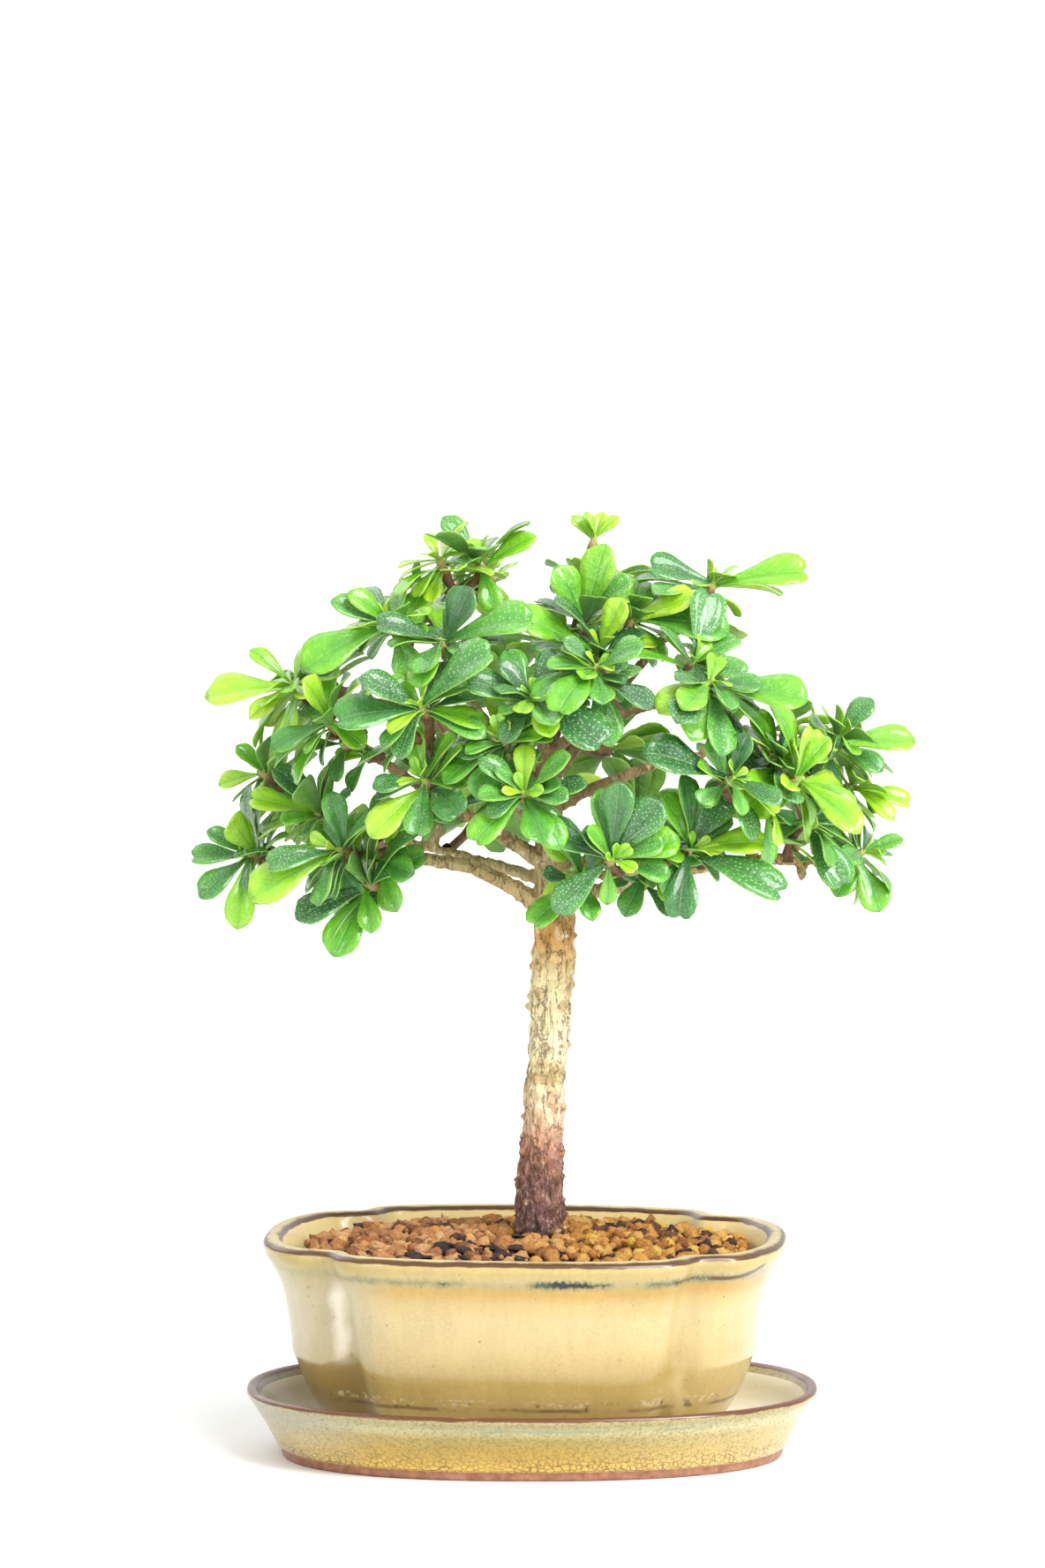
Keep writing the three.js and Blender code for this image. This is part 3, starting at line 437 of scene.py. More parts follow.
def loftRings(rings, steps, center):
    # the first ring is a circle of vertices, and each next one is extruded from it and put on its plan
    bm = bmesh.new()
    made = bmesh.ops.create_circle(bm, segments=steps, radius=mm, matrix=Matrix.Translation((center * mm, 0, 0)))
    ring = made["verts"]
    angles = {v: math.atan2(v.co.y, v.co.x - center * mm) for v in ring}
    for v in ring:
        v.co = rings[0](angles[v]) * mm
    for place in rings[1:]:
        edges = [e for e in bm.edges if e.verts[0] in angles and e.verts[1] in angles]
        new = bmesh.ops.extrude_edge_only(bm, edges=edges)["geom"]
        old = angles
        angles = {}
        for v in (g for g in new if isinstance(g, bmesh.types.BMVert)):
            below = next(e.other_vert(v) for e in v.link_edges if e.other_vert(v) in old)
            angles[v] = old[below]
        for v, angle in angles.items():
            v.co = place(angle) * mm
    return bm


def closeTube(bm):
    bmesh.ops.bridge_loops(bm, edges=[e for e in bm.edges if e.is_boundary])
    bmesh.ops.recalc_face_normals(bm, faces=bm.faces[:])


def buildPot(material):
    rings = [roundRing(pot["drain"], pot["foot"] + 3, pot["center"])]
    rings += [potRing(*row) for row in pot["outside"] + pot["lip"] + pot["inside"]]
    rings.append(roundRing(pot["drain"], pot["foot"] + pot["floor"], pot["center"]))
    bm = loftRings(rings, 240, pot["center"])
    closeTube(bm)
    piece = newPiece("glazed_pot", bm, [material], ["pot"])
    smoothOnce(piece)


def buildSaucer(material):
    def ring(inset, height):
        def place(angle):
            radius = planRadius(saucer, angle, inset)
            return Vector((radius * math.cos(angle), radius * math.sin(angle), height))
        return place
    rings = [ring(*row) for row in saucer["profile"]]
    bm = loftRings(rings, 200, 0)
    bmesh.ops.holes_fill(bm, edges=[e for e in bm.edges if e.is_boundary], sides=0)
    caps = [f for f in bm.faces if len(f.verts) > 4]
    bmesh.ops.inset_region(bm, faces=caps, thickness=12 * mm)
    bmesh.ops.recalc_face_normals(bm, faces=bm.faces[:])
    newPiece("glazed_saucer", bm, [material], ["saucer"])


def smoothOnce(piece):
    finer = piece.modifiers.new("finer", "SUBSURF")
    finer.levels = 1
    finer.render_levels = 1


buildPot(glazeMaterial("pot_glaze_look", potGlaze, markPot))
buildSaucer(glazeMaterial("saucer_glaze_look", saucerGlaze, markSaucer))
print("pot and saucer thrown and glazed")

# Soil: the imported bed lies lower and is painted dark, as the shade in the gaps between the granules, and two layers
# of baked-clay granules fill it up
soil = {
    "belowRim": 3.2, "crown": 4.8, "trunkHole": 7.6, "bedDrop": 5.5, "fromWall": 9.6, "spacing": 4.7,
    # height of the rim above the foot, the trunk's place along X, and where the bed's own top begins
    "rim": 58.5, "trunkAt": 2, "bedTop": 50, "bedShadeTone": 0.06, "filled": 0.93, "jitter": 0.32,
    # depth of a layer's tops under the imported surface, least and most radius, and how light it is: the deeper layer
    # is darker, as painted shade
    "layers": [(2.6, 2.3, 3.0, 0.52), (-0.2, 1.9, 2.8, 1.0)],
    "shapes": 16, "lumps": 34, "crumbs": 260, "flakes": 42, "flat": 0.32, "seed": 4,
    # ranges of tone, and how many granules have each
    "shades": [(0.45, 0.74), (0.3, 0.45), (0.08, 0.2), (0.76, 1.0)], "shares": (0.62, 0.2, 0.08, 0.1),
    # colours by tone, from the painted shade of the gaps to the palest grains: browner on the left, more ochre on the
    # right
    "toneSteps": (0, 0.12, 0.26, 0.45, 0.64, 0.8, 0.92, 1),
    "brown": ("241a20", "4a3031", "845034", "c07d4a", "e6a668", "f6c48c", "f29c42", "f6b44a"),
    "ochre": ("241a20", "4d3230", "8f5a2e", "c9843a", "ecac50", "f8c86e", "f6c650", "f8d040"),
}


def soilTop(x, y):
    out = math.hypot((x - pot["center"]) / pot["halfLength"], y / pot["halfDepth"])
    return pot["foot"] + soil["rim"] - soil["belowRim"] + soil["crown"] * max(0, 1 - 1.25 * out * out)


def soilMaterial():
    material, shader, place = newMaterial("soil_look", Roughness=0.88)
    x = inMillimeters(place)[0]
    tone = attribute(place, "tone") + swing(place, 800, 4, 0.7, 0.42)
    brown, ochre = (ramp(tone, list(zip(soil["toneSteps"], soil[name]))) for name in ("brown", "ochre"))
    warm = above(x + noiseOf(place, 40, 2) * 40.0, -6, 44)
    pores = noiseOf(place, 700, 5, 0.75) + noiseOf(place, 2200, 2, 0.6) + noiseOf(place, 360) * 1.3
    finishWith(shader, blendOver(warm, brown, ochre), pores, 1.0, 1.35)
    return material


def granuleShapes(count, rng):
    # cubes cut once, rounded and pushed about: 24 faces each
    shapes = []
    for k in range(count):
        bm = bmesh.new()
        bmesh.ops.create_cube(bm, size=1)
        bmesh.ops.subdivide_edges(bm, edges=bm.edges[:], cuts=1, use_grid_fill=True)
        shift = Vector((rng.random(), rng.random(), rng.random())) * 90
        for v in bm.verts:
            out = v.co.normalized() * 0.5
            v.co = out * (1 + 0.6 * noise.noise(out * 2.6 + shift) + 0.5 * noise.noise(out * 5.5 + shift))
        shapes.append(meshFrom(bm, "granule"))
    return shapes


def addGranule(bm, shape, tone, place, size, rng, flat=1.0):
    before = len(bm.verts)
    bm.from_mesh(shape)
    bm.verts.ensure_lookup_table()
    verts = bm.verts[before:]
    layer = bm.verts.layers.float["tone"]
    for v in verts:
        v[layer] = tone
    axis = Vector((rng.gauss(0, 1), rng.gauss(0, 1), rng.gauss(0, 1)))
    turn = Matrix.Rotation(rng.uniform(0, math.tau), 4, axis)
    if flat < 1:
        turn = Matrix.Rotation(rng.uniform(0, math.tau), 4, "Z") @ Matrix.Rotation(rng.uniform(-0.5, 0.5), 4, "X")
    stretch = Matrix.Diagonal((rng.uniform(0.95, 1.2), rng.uniform(0.85, 1), rng.uniform(0.8, 1) * flat, 1))
    whole = Matrix.Translation(place) @ turn @ stretch @ Matrix.Scale(2 * size, 4)
    bmesh.ops.transform(bm, matrix=whole, verts=verts)


def isInPot(x, y, radius):
    angle = math.atan2(y, x - pot["center"]) - math.radians(pot["turn"])
    wall = planRadius(pot, angle, soil["fromWall"], pot["notchDepth"] * 0.8)
    return (math.hypot(x - pot["center"], y) < wall - radius * 0.8
            and math.hypot(x - soil["trunkAt"], y) > soil["trunkHole"] + radius * 0.5)


def shadeOf(rng):
    return rng.uniform(*rng.choices(soil["shades"], soil["shares"])[0])


def buildSoil(material):
    rng = random.Random(soil["seed"])
    bed = cadCopy("soil")
    layer = bed.verts.layers.float.new("tone")
    for v in bed.verts:
        v[layer] = soil["bedShadeTone"]
        if v.co.z > soil["bedTop"] * mm:
            v.co.z -= soil["bedDrop"] * mm
    newPiece("soil_bed", bed, [material], ["soil"], smooth=False)
    bm = bmesh.new()
    bm.verts.layers.float.new("tone")
    shapes = granuleShapes(soil["shapes"], rng)

    def drop(x, y, depth, radius, shade, flat=1.0):
        z = soilTop(x, y) - depth - radius
        addGranule(bm, rng.choice(shapes), shade, Vector((x, y, z)) * mm, radius * mm, rng, flat)

    step = soil["spacing"]
    rows, columns = (int(2 * pot[half] / step) for half in ("halfDepth", "halfLength"))
    spread = soil["jitter"]
    # the deeper layer's tones are scaled down, painted shade under the top granules
    for depth, least, most, light in soil["layers"]:
        for row, column in itertools.product(*(range(-n // 2, n // 2 + 2) for n in (rows, columns))):
            # every other row is half a step along, like balls in a box
            x = (column + 0.5 * (row % 2) + rng.uniform(-spread, spread) + depth * 0.2) * step + pot["center"]
            y = (row * 0.87 + rng.uniform(-spread, spread)) * step
            radius = rng.uniform(least, most)
            if isInPot(x, y, radius) and rng.random() < soil["filled"]:
                drop(x, y, depth + rng.uniform(-0.6, 1.1), radius, shadeOf(rng) * light)
    for k in range(soil["lumps"]):
        # bigger lumps, mostly on the left
        x, y = rng.gauss(-34, 20), rng.uniform(-44, 44)
        radius = rng.uniform(2.8, 3.7)
        if isInPot(x, y, radius):
            drop(x, y, rng.uniform(-0.3, 0.8), radius, rng.uniform(0.42, 0.7))
    for k in range(soil["crumbs"]):
        x, y = rng.uniform(-66, 62), rng.uniform(-48, 48)
        if isInPot(x, y, 1):
            drop(x, y, rng.uniform(-0.4, 1.4), rng.uniform(0.6, 1.2), shadeOf(rng))
    for k in range(soil["flakes"]):
        # dark flat flakes, most of them left of the middle at the front
        x, y = rng.gauss(-20, 15), rng.gauss(-32, 10)
        if isInPot(x, y, 2.5):
            drop(x, y, rng.uniform(-2.2, -0.4), rng.uniform(2.0, 3.6), rng.uniform(0, 0.1), soil["flat"])
    count = len(bm.verts) // len(shapes[0].vertices)
    newPiece("soil_granules", bm, [material], ["soil"])
    print("soil filled in with", count, "granules")


buildSoil(soilMaterial())

# Trunk and branches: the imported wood, made finer, with its flutes, nubs and flaking bark
wood = {
    "voxel": 0.62, "ripple": 0.55, "ridge": 0.75, "plates": 0.4, "rough": 0.55,
    "nubs": 150, "nubHeight": 1.2, "nubRadius": 1.9, "stubs": 30, "stubsFrom": 164, "soilLine": 64, "footTop": 96,
    "crotch": 152, "top": 240, "lowNubs": 0.62, "smoothings": 4, "seed": 11,
    # colours by height: dark foot, cream trunk with a greenish band, brown crotch and duller branches
    "colors": [(64, "543a38"), (72, "7a5450"), (84, "a06f5e"), (90, "ca957c"), (97, "e6c4a6"), (104, "f4dfb9"),
               (107.5, "ecd8a8"), (110, "b7a26c"), (112.5, "efdfb0"), (118, "fbedc6"), (136, "f7e7b8"), (145, "e8c486"),
               (151, "cf9a52"), (157, "cdb380"), (166, "bcaa78"), (184, "ab9269"), (215, "957a58")],
}


def woodMaterial():
    material, shader, place = newMaterial("bark_look", Roughness=0.78)
    z = inMillimeters(place)[2]
    height = z + swing(place, 170, 4, 0.6, 14.0)
    color = heightRamp(height, 60, 215, wood["colors"])
    streaks = noiseOf(stretched(place, 0.28), 620, 5, 0.65)
    color = blendOver(0.75, color, ramp(streaks, [(0.3, 0.62), (0.44, 0.98), (0.7, 1.15)]), "MULTIPLY")
    patches = spots(stretched(place, 0.6), 260, 0.56, 0.7, 4, 0.65)
    color = blendOver(patches * 0.22, color, "8b6f3f")
    # pale flakes above the foot, and duller khaki between them
    lichen = spots(stretched(place, 0.5), 330, 0.58, 0.7, 4, 0.6)
    color = blendOver(lichen * above(z, 90, 100), color, "efe6c8")
    khaki = spots(stretched(place, 0.4), 95, 0.42, 0.56)
    color = blendOver(khaki * 0.35, color, blendOver(1.0, color, "ddd2ac", "MULTIPLY"))
    # a nub has a brown ring round a tan middle
    raised = attribute(place, "nub")
    color = blendOver(above(raised, 0.3, 0.7) * 0.4, color, "ae8350")
    ring = band(raised, 0.26, 0.22) * spots(place, 420, 0.35, 0.6)
    color = blendOver(ring * 0.75, color, "7d5630")
    # the dark foot of the trunk has light flecks and dark pits, and some of its nubs have pale tips
    foot = under(height, 88, 96)
    flecks = spots(stretched(place, 0.5), 780, 0.52, 0.6, 4, 0.7)
    color = blendOver(flecks * foot * 0.62, color, "c29c8e")
    pits = spots(stretched(place, 0.4), 520, 0.5, 0.6, 4, 0.7)
    color = blendOver(pits * foot * 0.6, color, "38262a")
    tips = above(raised, 0.84, 0.96) * under(z, 92, 100) * spots(place, 90, 0.44, 0.5, 2)
    color = blendOver(tips * 0.8, color, "e9c9a8")
    # thin cracks wander up the bark between its plates
    wander = noiseOf(stretched(place, 0.24), 300, 5, 0.62, 0.5)
    splits = under(abs(wander - 0.5), 0.0, 0.02)
    color = blendOver(splits * 0.55, color, "74533a")
    finishWith(shader, color, streaks + noiseOf(place, 1500) * 0.5 - splits * 0.8, 0.85, 0.95)
    return material


def remeshed(bm, voxel):
    # a throwaway object turns the joined solids into one even skin
    mesh = meshFrom(bm, "rough")
    rough = newObject("rough", mesh)
    even = rough.modifiers.new("even", "REMESH")
    even.mode = "VOXEL"
    even.voxel_size = voxel * mm
    bpy.context.view_layer.update()
    evaluated = rough.evaluated_get(bpy.context.evaluated_depsgraph_get())
    result = bmesh.new()
    result.from_mesh(evaluated.to_mesh())
    bpy.data.objects.remove(rough)
    bpy.data.meshes.remove(mesh)
    return result


def facesAbove(bm, height):
    # with their areas, as weights for a random choice
    faces = [f for f in bm.faces if f.calc_center_median().z > height * mm]
    return faces, [f.calc_area() for f in faces]


def addStubs(bm, rng):
    # short cut ends of old twigs, up among the leaves
    for face in rng.choices(*facesAbove(bm, wood["stubsFrom"]), k=wood["stubs"]):
        lean = Vector((rng.uniform(-0.4, 0.4), rng.uniform(-0.7, 0.1), rng.uniform(0, 0.8)))
        out = (face.normal + lean).normalized()
        length = rng.uniform(5, 8.5) * mm
        place = Matrix.Translation(face.calc_center_median() + out * length * 0.3)
        turn = out.to_track_quat("Z", "Y").to_matrix().to_4x4()
        bmesh.ops.create_cone(bm, cap_ends=True, segments=8, radius1=rng.uniform(1.7, 2.3) * mm,
                              radius2=rng.uniform(1.3, 1.8) * mm, depth=length, matrix=place @ turn)


def drawnOut(p, across, along):
    # noise in long ridges up the wood
    return noise.noise(Vector((p.x * across, p.y * across, p.z * along)))


def buildWood(material):
    rng = random.Random(wood["seed"])
    rough = cadCopy("trunk_and_branches")
    addStubs(rough, rng)
    bm = remeshed(rough, wood["voxel"])
    for k in range(wood["smoothings"]):
        bmesh.ops.smooth_vert(bm, verts=bm.verts[:], factor=0.5, use_axis_x=True, use_axis_y=True, use_axis_z=True)
    bm.normal_update()
    layer = bm.verts.layers.float.new("nub")
    bm.verts.ensure_lookup_table()
    tree = treeOf([v.co for v in bm.verts])
    moves = {}
    for v in bm.verts:
        p = v.co / mm
        slim = 0.5 if p.z > wood["crotch"] + 8 else 1
        ridge = drawnOut(p, 0.55, 0.12)
        ripple = noise.noise(p * 0.33) + 0.5 * noise.noise(p * 0.9)
        plate = abs(noise.noise(Vector((p.x * 0.5, p.y * 0.5, p.z * 0.2)) + Vector((9, 4, 2))))
        moves[v] = (wood["ridge"] * ridge + wood["ripple"] * ripple - wood["plates"] * (plate < 0.06)) * slim
        if p.z < wood["footTop"]:
            # the foot is rougher, with ridges that run up it
            moves[v] += wood["rough"] * drawnOut(p, 0.8, 0.22)
    tall = [v for v in bm.verts if wood["soilLine"] < v.co.z / mm < wood["top"]]
    low = [v for v in tall if v.co.z / mm < wood["crotch"]]
    for k in range(wood["nubs"]):
        v = rng.choice(low if k < wood["nubs"] * wood["lowNubs"] else tall)
        reach = wood["nubRadius"] * rng.uniform(0.6, 1.15)
        rise = wood["nubHeight"] * rng.uniform(0.45, 1) * (1 if v in low or v.co.z / mm < 150 else 0.7)
        for _, index, distance in tree.find_range(v.co, reach * mm):
            near = bm.verts[index]
            fade = 1 - (distance / (reach * mm)) ** 2
            moves[near] += rise * fade * fade
            near[layer] = max(near[layer], fade)
    for v, move in moves.items():
        if v.co.z / mm > wood["soilLine"] - 4:
            v.co += v.normal * move * mm
    return newPiece("trunk_and_branches_bark", bm, [material], ["trunk_and_branches"])


buildWood(woodMaterial())
print("wood grown")

# Leaves: read from each packed leafy twig, then made as thin folded blades, with more of them between
leaf = {
    "across": 4, "along": 8, "thickness": 0.3, "fold": 0.36, "packedThickness": 0.95,
    # width of the blade from stalk to tip
    "outline": [(0, 0.09), (0.12, 0.13), (0.25, 0.28), (0.4, 0.5), (0.56, 0.78), (0.7, 0.97), (0.8, 1.0), (0.9, 0.93),
                (0.96, 0.78), (1, 0.54)],
    "widen": 1.07, "roundTip": 0.05, "seed": 21,
}
crown = {
    "middle": (4, 4, 186), "rise": 0.45, "extra": 10, "tries": 90, "heart": (0, 2, 3, 4),
    "clear": 1.05, "stray": 6, "sunk": 1.5, "rosettes": 60, "rosetteTries": 900, "lowest": 158,
    # tufts of young bright leaves, and tufts that keep only their packed leaves
    "young": (5, 10, 17, 19, 35, 43, 49), "asPacked": (25, 26, 35),
    # radii and tones of a stem from the branch to the heart of its tuft, with a brown knot under the leaves
    "stem": (1.9, 1.5, 1.45, 2.1, 1.5, 0.6), "stemTones": (0.1, 0.16, 0.2, 0.16, 0.5, 0.95),
    # tones of old and young leaves, and how many of them have each
    "shades": [(0.0, 0.2, 28), (0.2, 0.42, 37), (0.42, 0.64, 26), (0.68, 0.88, 9)], "youngShades": [(0.56, 0.9, 1)],
    # leaves follow each other round a twig by this turn in radians
    "spiral": 2.4,
}
leafLooks = {
    "leaf_upper_look": {
        "rough": 0.2, "coat": 0.75, "hasDots": True,
        "tones": [(0, "26602c"), (0.22, "39842b"), (0.42, "54a61f"), (0.6, "74be18"), (0.78, "98d41c"), (1, "bce22c")],
    },
    "leaf_underside_look": {
        "rough": 0.45, "coat": 0.0, "hasDots": False,
        "tones": [(0, "5f9244"), (0.4, "7bae46"), (0.7, "9ccc3c"), (1, "c6e64c")],
    },
}


def leafMaterial(name, look):
    material, shader, place = newMaterial(name, Roughness=look["rough"], Specular_IOR_Level=0.5,
                                          Coat_Weight=look["coat"], Coat_Roughness=0.07)
    plainTone = attribute(place, "tone")
    u, along, _ = partsOf(addNode(place.tree, "UVMap", uv_map="leaf"))
    across = abs(u - 0.5)
    # a blade is darker at its foot and lighter out at its edges
    tone = plainTone + swing(place, 210, 3, 0.6, 0.34) + (across - 0.22) * 0.36 + (along - 0.55) * 0.16
    color = ramp(tone, look["tones"])
    rib = under(across, 0.012, 0.045)
    slant = along * 46.0 - across * 34.0
    veins = above(slant.calc("SINE", slant), 0.86, 1.0) * 0.1
    color = blendOver(rib * 0.14, color, "a9d36a")
    color = blendOver(veins, color, "a8cf6e")
    color = blendOver(above(across, 0.462, 0.5) * 0.4, color, "a9d36a")
    if look["hasDots"]:
        # the dots lie on the blade's own grid, shifted by its tone so that no two blades are alike
        grid = addNode(place.tree, "CombineXYZ", {0: u * 8.0 + plainTone * 60.0, 1: along * 16.0})
        dots = addNode(place.tree, "TexVoronoi", {"Vector": grid, "Scale": 1.0, "Randomness": 0.7},
                       feature="F1", voronoi_dimensions="2D")
        dusty = attribute(place, "speckle")
        color = blendOver(under(dots, 0.09, 0.22) * dusty * 0.66, color, "cfe8bf")
        color = blendOver(dusty * 0.12, color, "7fa884")
    finishWith(shader, color, rib * -0.5 + veins * -1.6 + noiseOf(place, 260, 5, 0.62) * 2.4, 0.7, 0.65)
    return material


def twigMaterial():
    material, shader, place = newMaterial("twig_look", Roughness=0.7)
    color = ramp(attribute(place, "tone") + swing(place, 500, 4, most=0.5), [
        (0.0, "4f3826"), (0.2, "7b5a3c"), (0.4, "a5865a"), (0.6, "b8a26c"), (0.85, "9db04f"), (1.0, "a5cf4b")])
    finishWith(shader, color, noiseOf(place, 700, 5, 0.7), 0.9, 0.9)
    return material


def outwardAt(place):
    # the way a tuft faces: out from the middle of the crown and a little up
    out = place / mm - Vector(crown["middle"])
    out.z *= 0.8
    return (out.normalized() + Vector((0, 0, crown["rise"]))).normalized()


def rowAt(top, near, verts, tree):
    # a packed blade has rows of left edge, upper rib, right edge and lower rib: finds the row of an upper rib
    best = None
    for _, k, distance in tree.find_range(top.co, leaf["packedThickness"] * 1.06 * mm):
        low = verts[k]
        if low is top or distance < leaf["packedThickness"] * 0.92 * mm:
            continue
        lift = (top.co - low.co).normalized()
        sides = sorted(near[top] & near[low], key=lambda v: v.index)
        for left, right in itertools.combinations(sides, 2):
            span = right.co - left.co
            width = span.length
            uneven = abs((left.co - top.co).length - (right.co - top.co).length) / width
            if uneven > 0.05 or abs(span.normalized().dot(lift)) > 0.06 or not 1.9 * mm < width < 17 * mm:
                continue
            middle = (left.co + right.co) / 2 - top.co
            rise = middle.dot(lift)
            off = (middle - lift * rise).length + abs(rise - 0.16 * width)
            if rise > -0.45 * mm and off < 7 * mm and (best is None or off < best["off"]):
                best = {"off": off, "top": top, "low": low, "left": left, "right": right, "lift": lift,
                        "width": width}
    return best


def readBlades(bm):
    # the rows that one rib joins are one blade
    bm.verts.index_update()
    verts = list(bm.verts)
    near = {v: {e.other_vert(v) for e in v.link_edges} for v in verts}
    tree = treeOf([v.co for v in verts])
    rows = {v: row for v in verts for row in [rowAt(v, near, verts, tree)] if row}
    blades = []
    while rows:
        blade = [rows.pop(next(iter(rows)))]
        for row in blade:
            for v in sorted(near[row["top"]], key=lambda v: v.index):
                if v in rows:
                    blade.append(rows.pop(v))
        blades.append(blade)
    return blades, near


def tipOf(blade, near, middle):
    # the farthest vertex ahead on the blade's own middle plane
    last = blade[-1]
    side = (last["right"].co - last["left"].co).normalized()
    ahead = last["top"].co - (blade[0]["top"].co if len(blade) > 1 else middle)
    ahead = (ahead - side * ahead.dot(side)).normalized()
    used = {row[key] for row in blade for key in ("top", "low", "left", "right")}
    beside = set().union(*(near[last[key]] for key in ("top", "low", "left", "right")))
    found = [v for v in beside - used if abs((v.co - last["top"].co).dot(side)) < 0.4 * mm
             and (v.co - last["top"].co).dot(ahead) > 0.4 * mm]
    return max(found, key=lambda v: (v.co.dot(ahead), v.index)).co if found else None


# share of the length, share of the full width, for each row that a packed blade may show; the tip's share is last
bladePatterns = [
    [(0.4, 0.55), (0.7, 1), (0.92, 0.8), 1], [(0.4, 0.55), (0.7, 1), (0.86, 0.8), 0.93],
    [(0.4, 0.55), (0.7, 1), 1], [(0.4, 0.55), (0.7, 1), 0.93], [(0.7, 1), (0.92, 0.8), 1],
    [(0.7, 1), (0.86, 0.8), 0.93], [(0.4, 0.55), (0.92, 0.8), 1], [(0.48, 0.72), (0.84, 1), 1],
    [(0.7, 1), 1], [(0.84, 1), 1], [(0.4, 0.55), 1],
]


def fitLeaf(blade, near, place, axis, most):
    # tries the patterns, and keeps the one whose curve starts nearest to the twig
    blade = sorted(blade, key=lambda row: (row["top"].co - place).length)
    tip = tipOf(blade, near, place)
    if tip is None:
        return None
    lift = sum((row["lift"] for row in blade), Vector()).normalized()
    best = None
    for pattern in bladePatterns:
        if len(pattern) != len(blade) + 1:
            continue
        shares = [share for share, _ in pattern[:-1]] + [pattern[-1]]
        points = [row["top"].co for row in blade] + [tip]
        if len(blade) == 1:
            slope = axis.dot(lift)
            reach = (points[0] - place).dot(lift) / slope if abs(slope) > 0.2 else 3 * mm
            shares.append(0)
            points.append(place + axis * min(max(reach, 0), 6 * mm))
        powers = np.array([[1, t, t * t] for t in shares])
        base, run, droop = (Vector(c) for c in np.linalg.lstsq(powers, np.array(points), rcond=None)[0])
        full = [row["width"] / 2 / wide for row, (_, wide) in zip(blade, pattern)]
        along = (base - place).dot(axis)
        miss = (base - place - axis * along).length / mm + 8 * (max(full) / min(full) - 1)
        miss += max(0, -along / mm, along / mm - 7) + max(0, run.length / mm - 26, 4 * (8 - run.length / mm))
        if best is None or miss < best[0]:
            best = (miss, {"base": base, "run": run, "droop": droop, "lift": lift, "half": sum(full) / len(full),
                           "notched": pattern[-1] < 1})
    return best[1] if best[0] < most else None


def readTwig(node, woodSkin):
    bm = cadCopy(node)
    blades, near = readBlades(bm)
    # the four corners nearest to the wood are the twig's foot
    corners = sorted((v.co.copy() for v in bm.verts), key=lambda p: (woodSkin.find_nearest(p)[0] - p).length)
    start = sum(corners[:4], Vector()) / 4
    middle = start + outwardAt(start) * 6 * mm
    for most in (30, 15, 8):
        # the twig's line is found from the leaves' bases, and then the leaves are fitted to that line
        axis = outwardAt(middle)
        place = middle - axis * 3.6 * mm
        leaves = [one for one in (fitLeaf(blade, near, place, axis, most) for blade in blades) if one]
        if leaves:
            middle = sum((one["base"] for one in leaves), Vector()) / len(leaves)
        elif blades:
            # a long twig carries its leaves farther out
            middle = sum((blade[0]["top"].co for blade in blades), Vector()) / len(blades)
    bm.free()
    reach = [(one["base"] - middle).dot(axis) for one in leaves] or [0]
    return {"node": node, "start": start, "place": middle + axis * (min(reach) - 2 * mm),
            "tip": middle + axis * (max(reach) + 0.8 * mm), "axis": axis, "leaves": leaves, "packed": len(blades)}


def spineOf(one, t):
    return one["base"] + one["run"] * t + one["droop"] * t * t


def widthAt(t):
    return float(np.interp(t, *zip(*leaf["outline"])))


def leafPoint(one, s, v):
    # s is -1 at the left edge and 1 at the right, v is 0 at the stalk and 1 at the tip
    t = 1 - (1 - v) ** 1.25
    half = one["half"] * leaf["widen"] * widthAt(t)
    back = leaf["roundTip"] * s * s * t ** 6
    if one["notched"]:
        back = 0.075 * max(0.0, 1 - abs(s) * 1.4) * t ** 8 + 0.03 * s * s * t ** 6
    lift = one["lift"]
    side = one["run"].cross(lift).normalized()
    cup = half * leaf["fold"] * (abs(s) * 1.15 - 0.4 * s * s)
    wave = one["half"] * 0.07 * math.sin(7 * t + one["phase"] + (1.8 if s > 0 else 0)) * s * s
    curl = -one["curl"] * one["run"].length * max(0, t - 0.6) ** 2
    return spineOf(one, t - back) + side * half * s + lift * (cup + wave + curl)


def addLeaf(bm, one):
    made = bmesh.ops.create_grid(bm, x_segments=leaf["across"], y_segments=leaf["along"], size=1, calc_uvs=True)
    toneLayer = bm.verts.layers.float["tone"]
    speckleLayer = bm.verts.layers.float["speckle"]
    for v in made["verts"]:
        v.co = leafPoint(one, v.co.x, (v.co.y + 1) / 2)
        v[toneLayer] = one["tone"]
        v[speckleLayer] = one["speckle"]


def addStem(bm, points, radii, tones):
    # a six-sided stem drawn out from its first face, closed at both ends
    toneLayer = bm.verts.layers.float["tone"]
    ahead = (points[1] - points[0]).normalized()
    turn = Matrix.Translation(points[0]) @ ahead.to_track_quat("Z", "Y").to_matrix().to_4x4()
    ring = bmesh.ops.create_circle(bm, segments=6, radius=radii[0], cap_ends=True, matrix=turn)["verts"]
    face = ring[0].link_faces[0]
    face.material_index = 2
    for v in ring:
        v[toneLayer] = tones[0]
    for k in range(1, len(points)):
        onward = (points[min(k + 1, len(points) - 1)] - points[k - 1]).normalized()
        made = bmesh.ops.extrude_discrete_faces(bm, faces=[face])
        face = made["faces"][0]
        bend = ahead.rotation_difference(onward).to_matrix()
        for v in face.verts:
            v.co = points[k] + (bend @ (v.co - points[k - 1])).normalized() * radii[k]
            v[toneLayer] = tones[k]
        ahead = onward


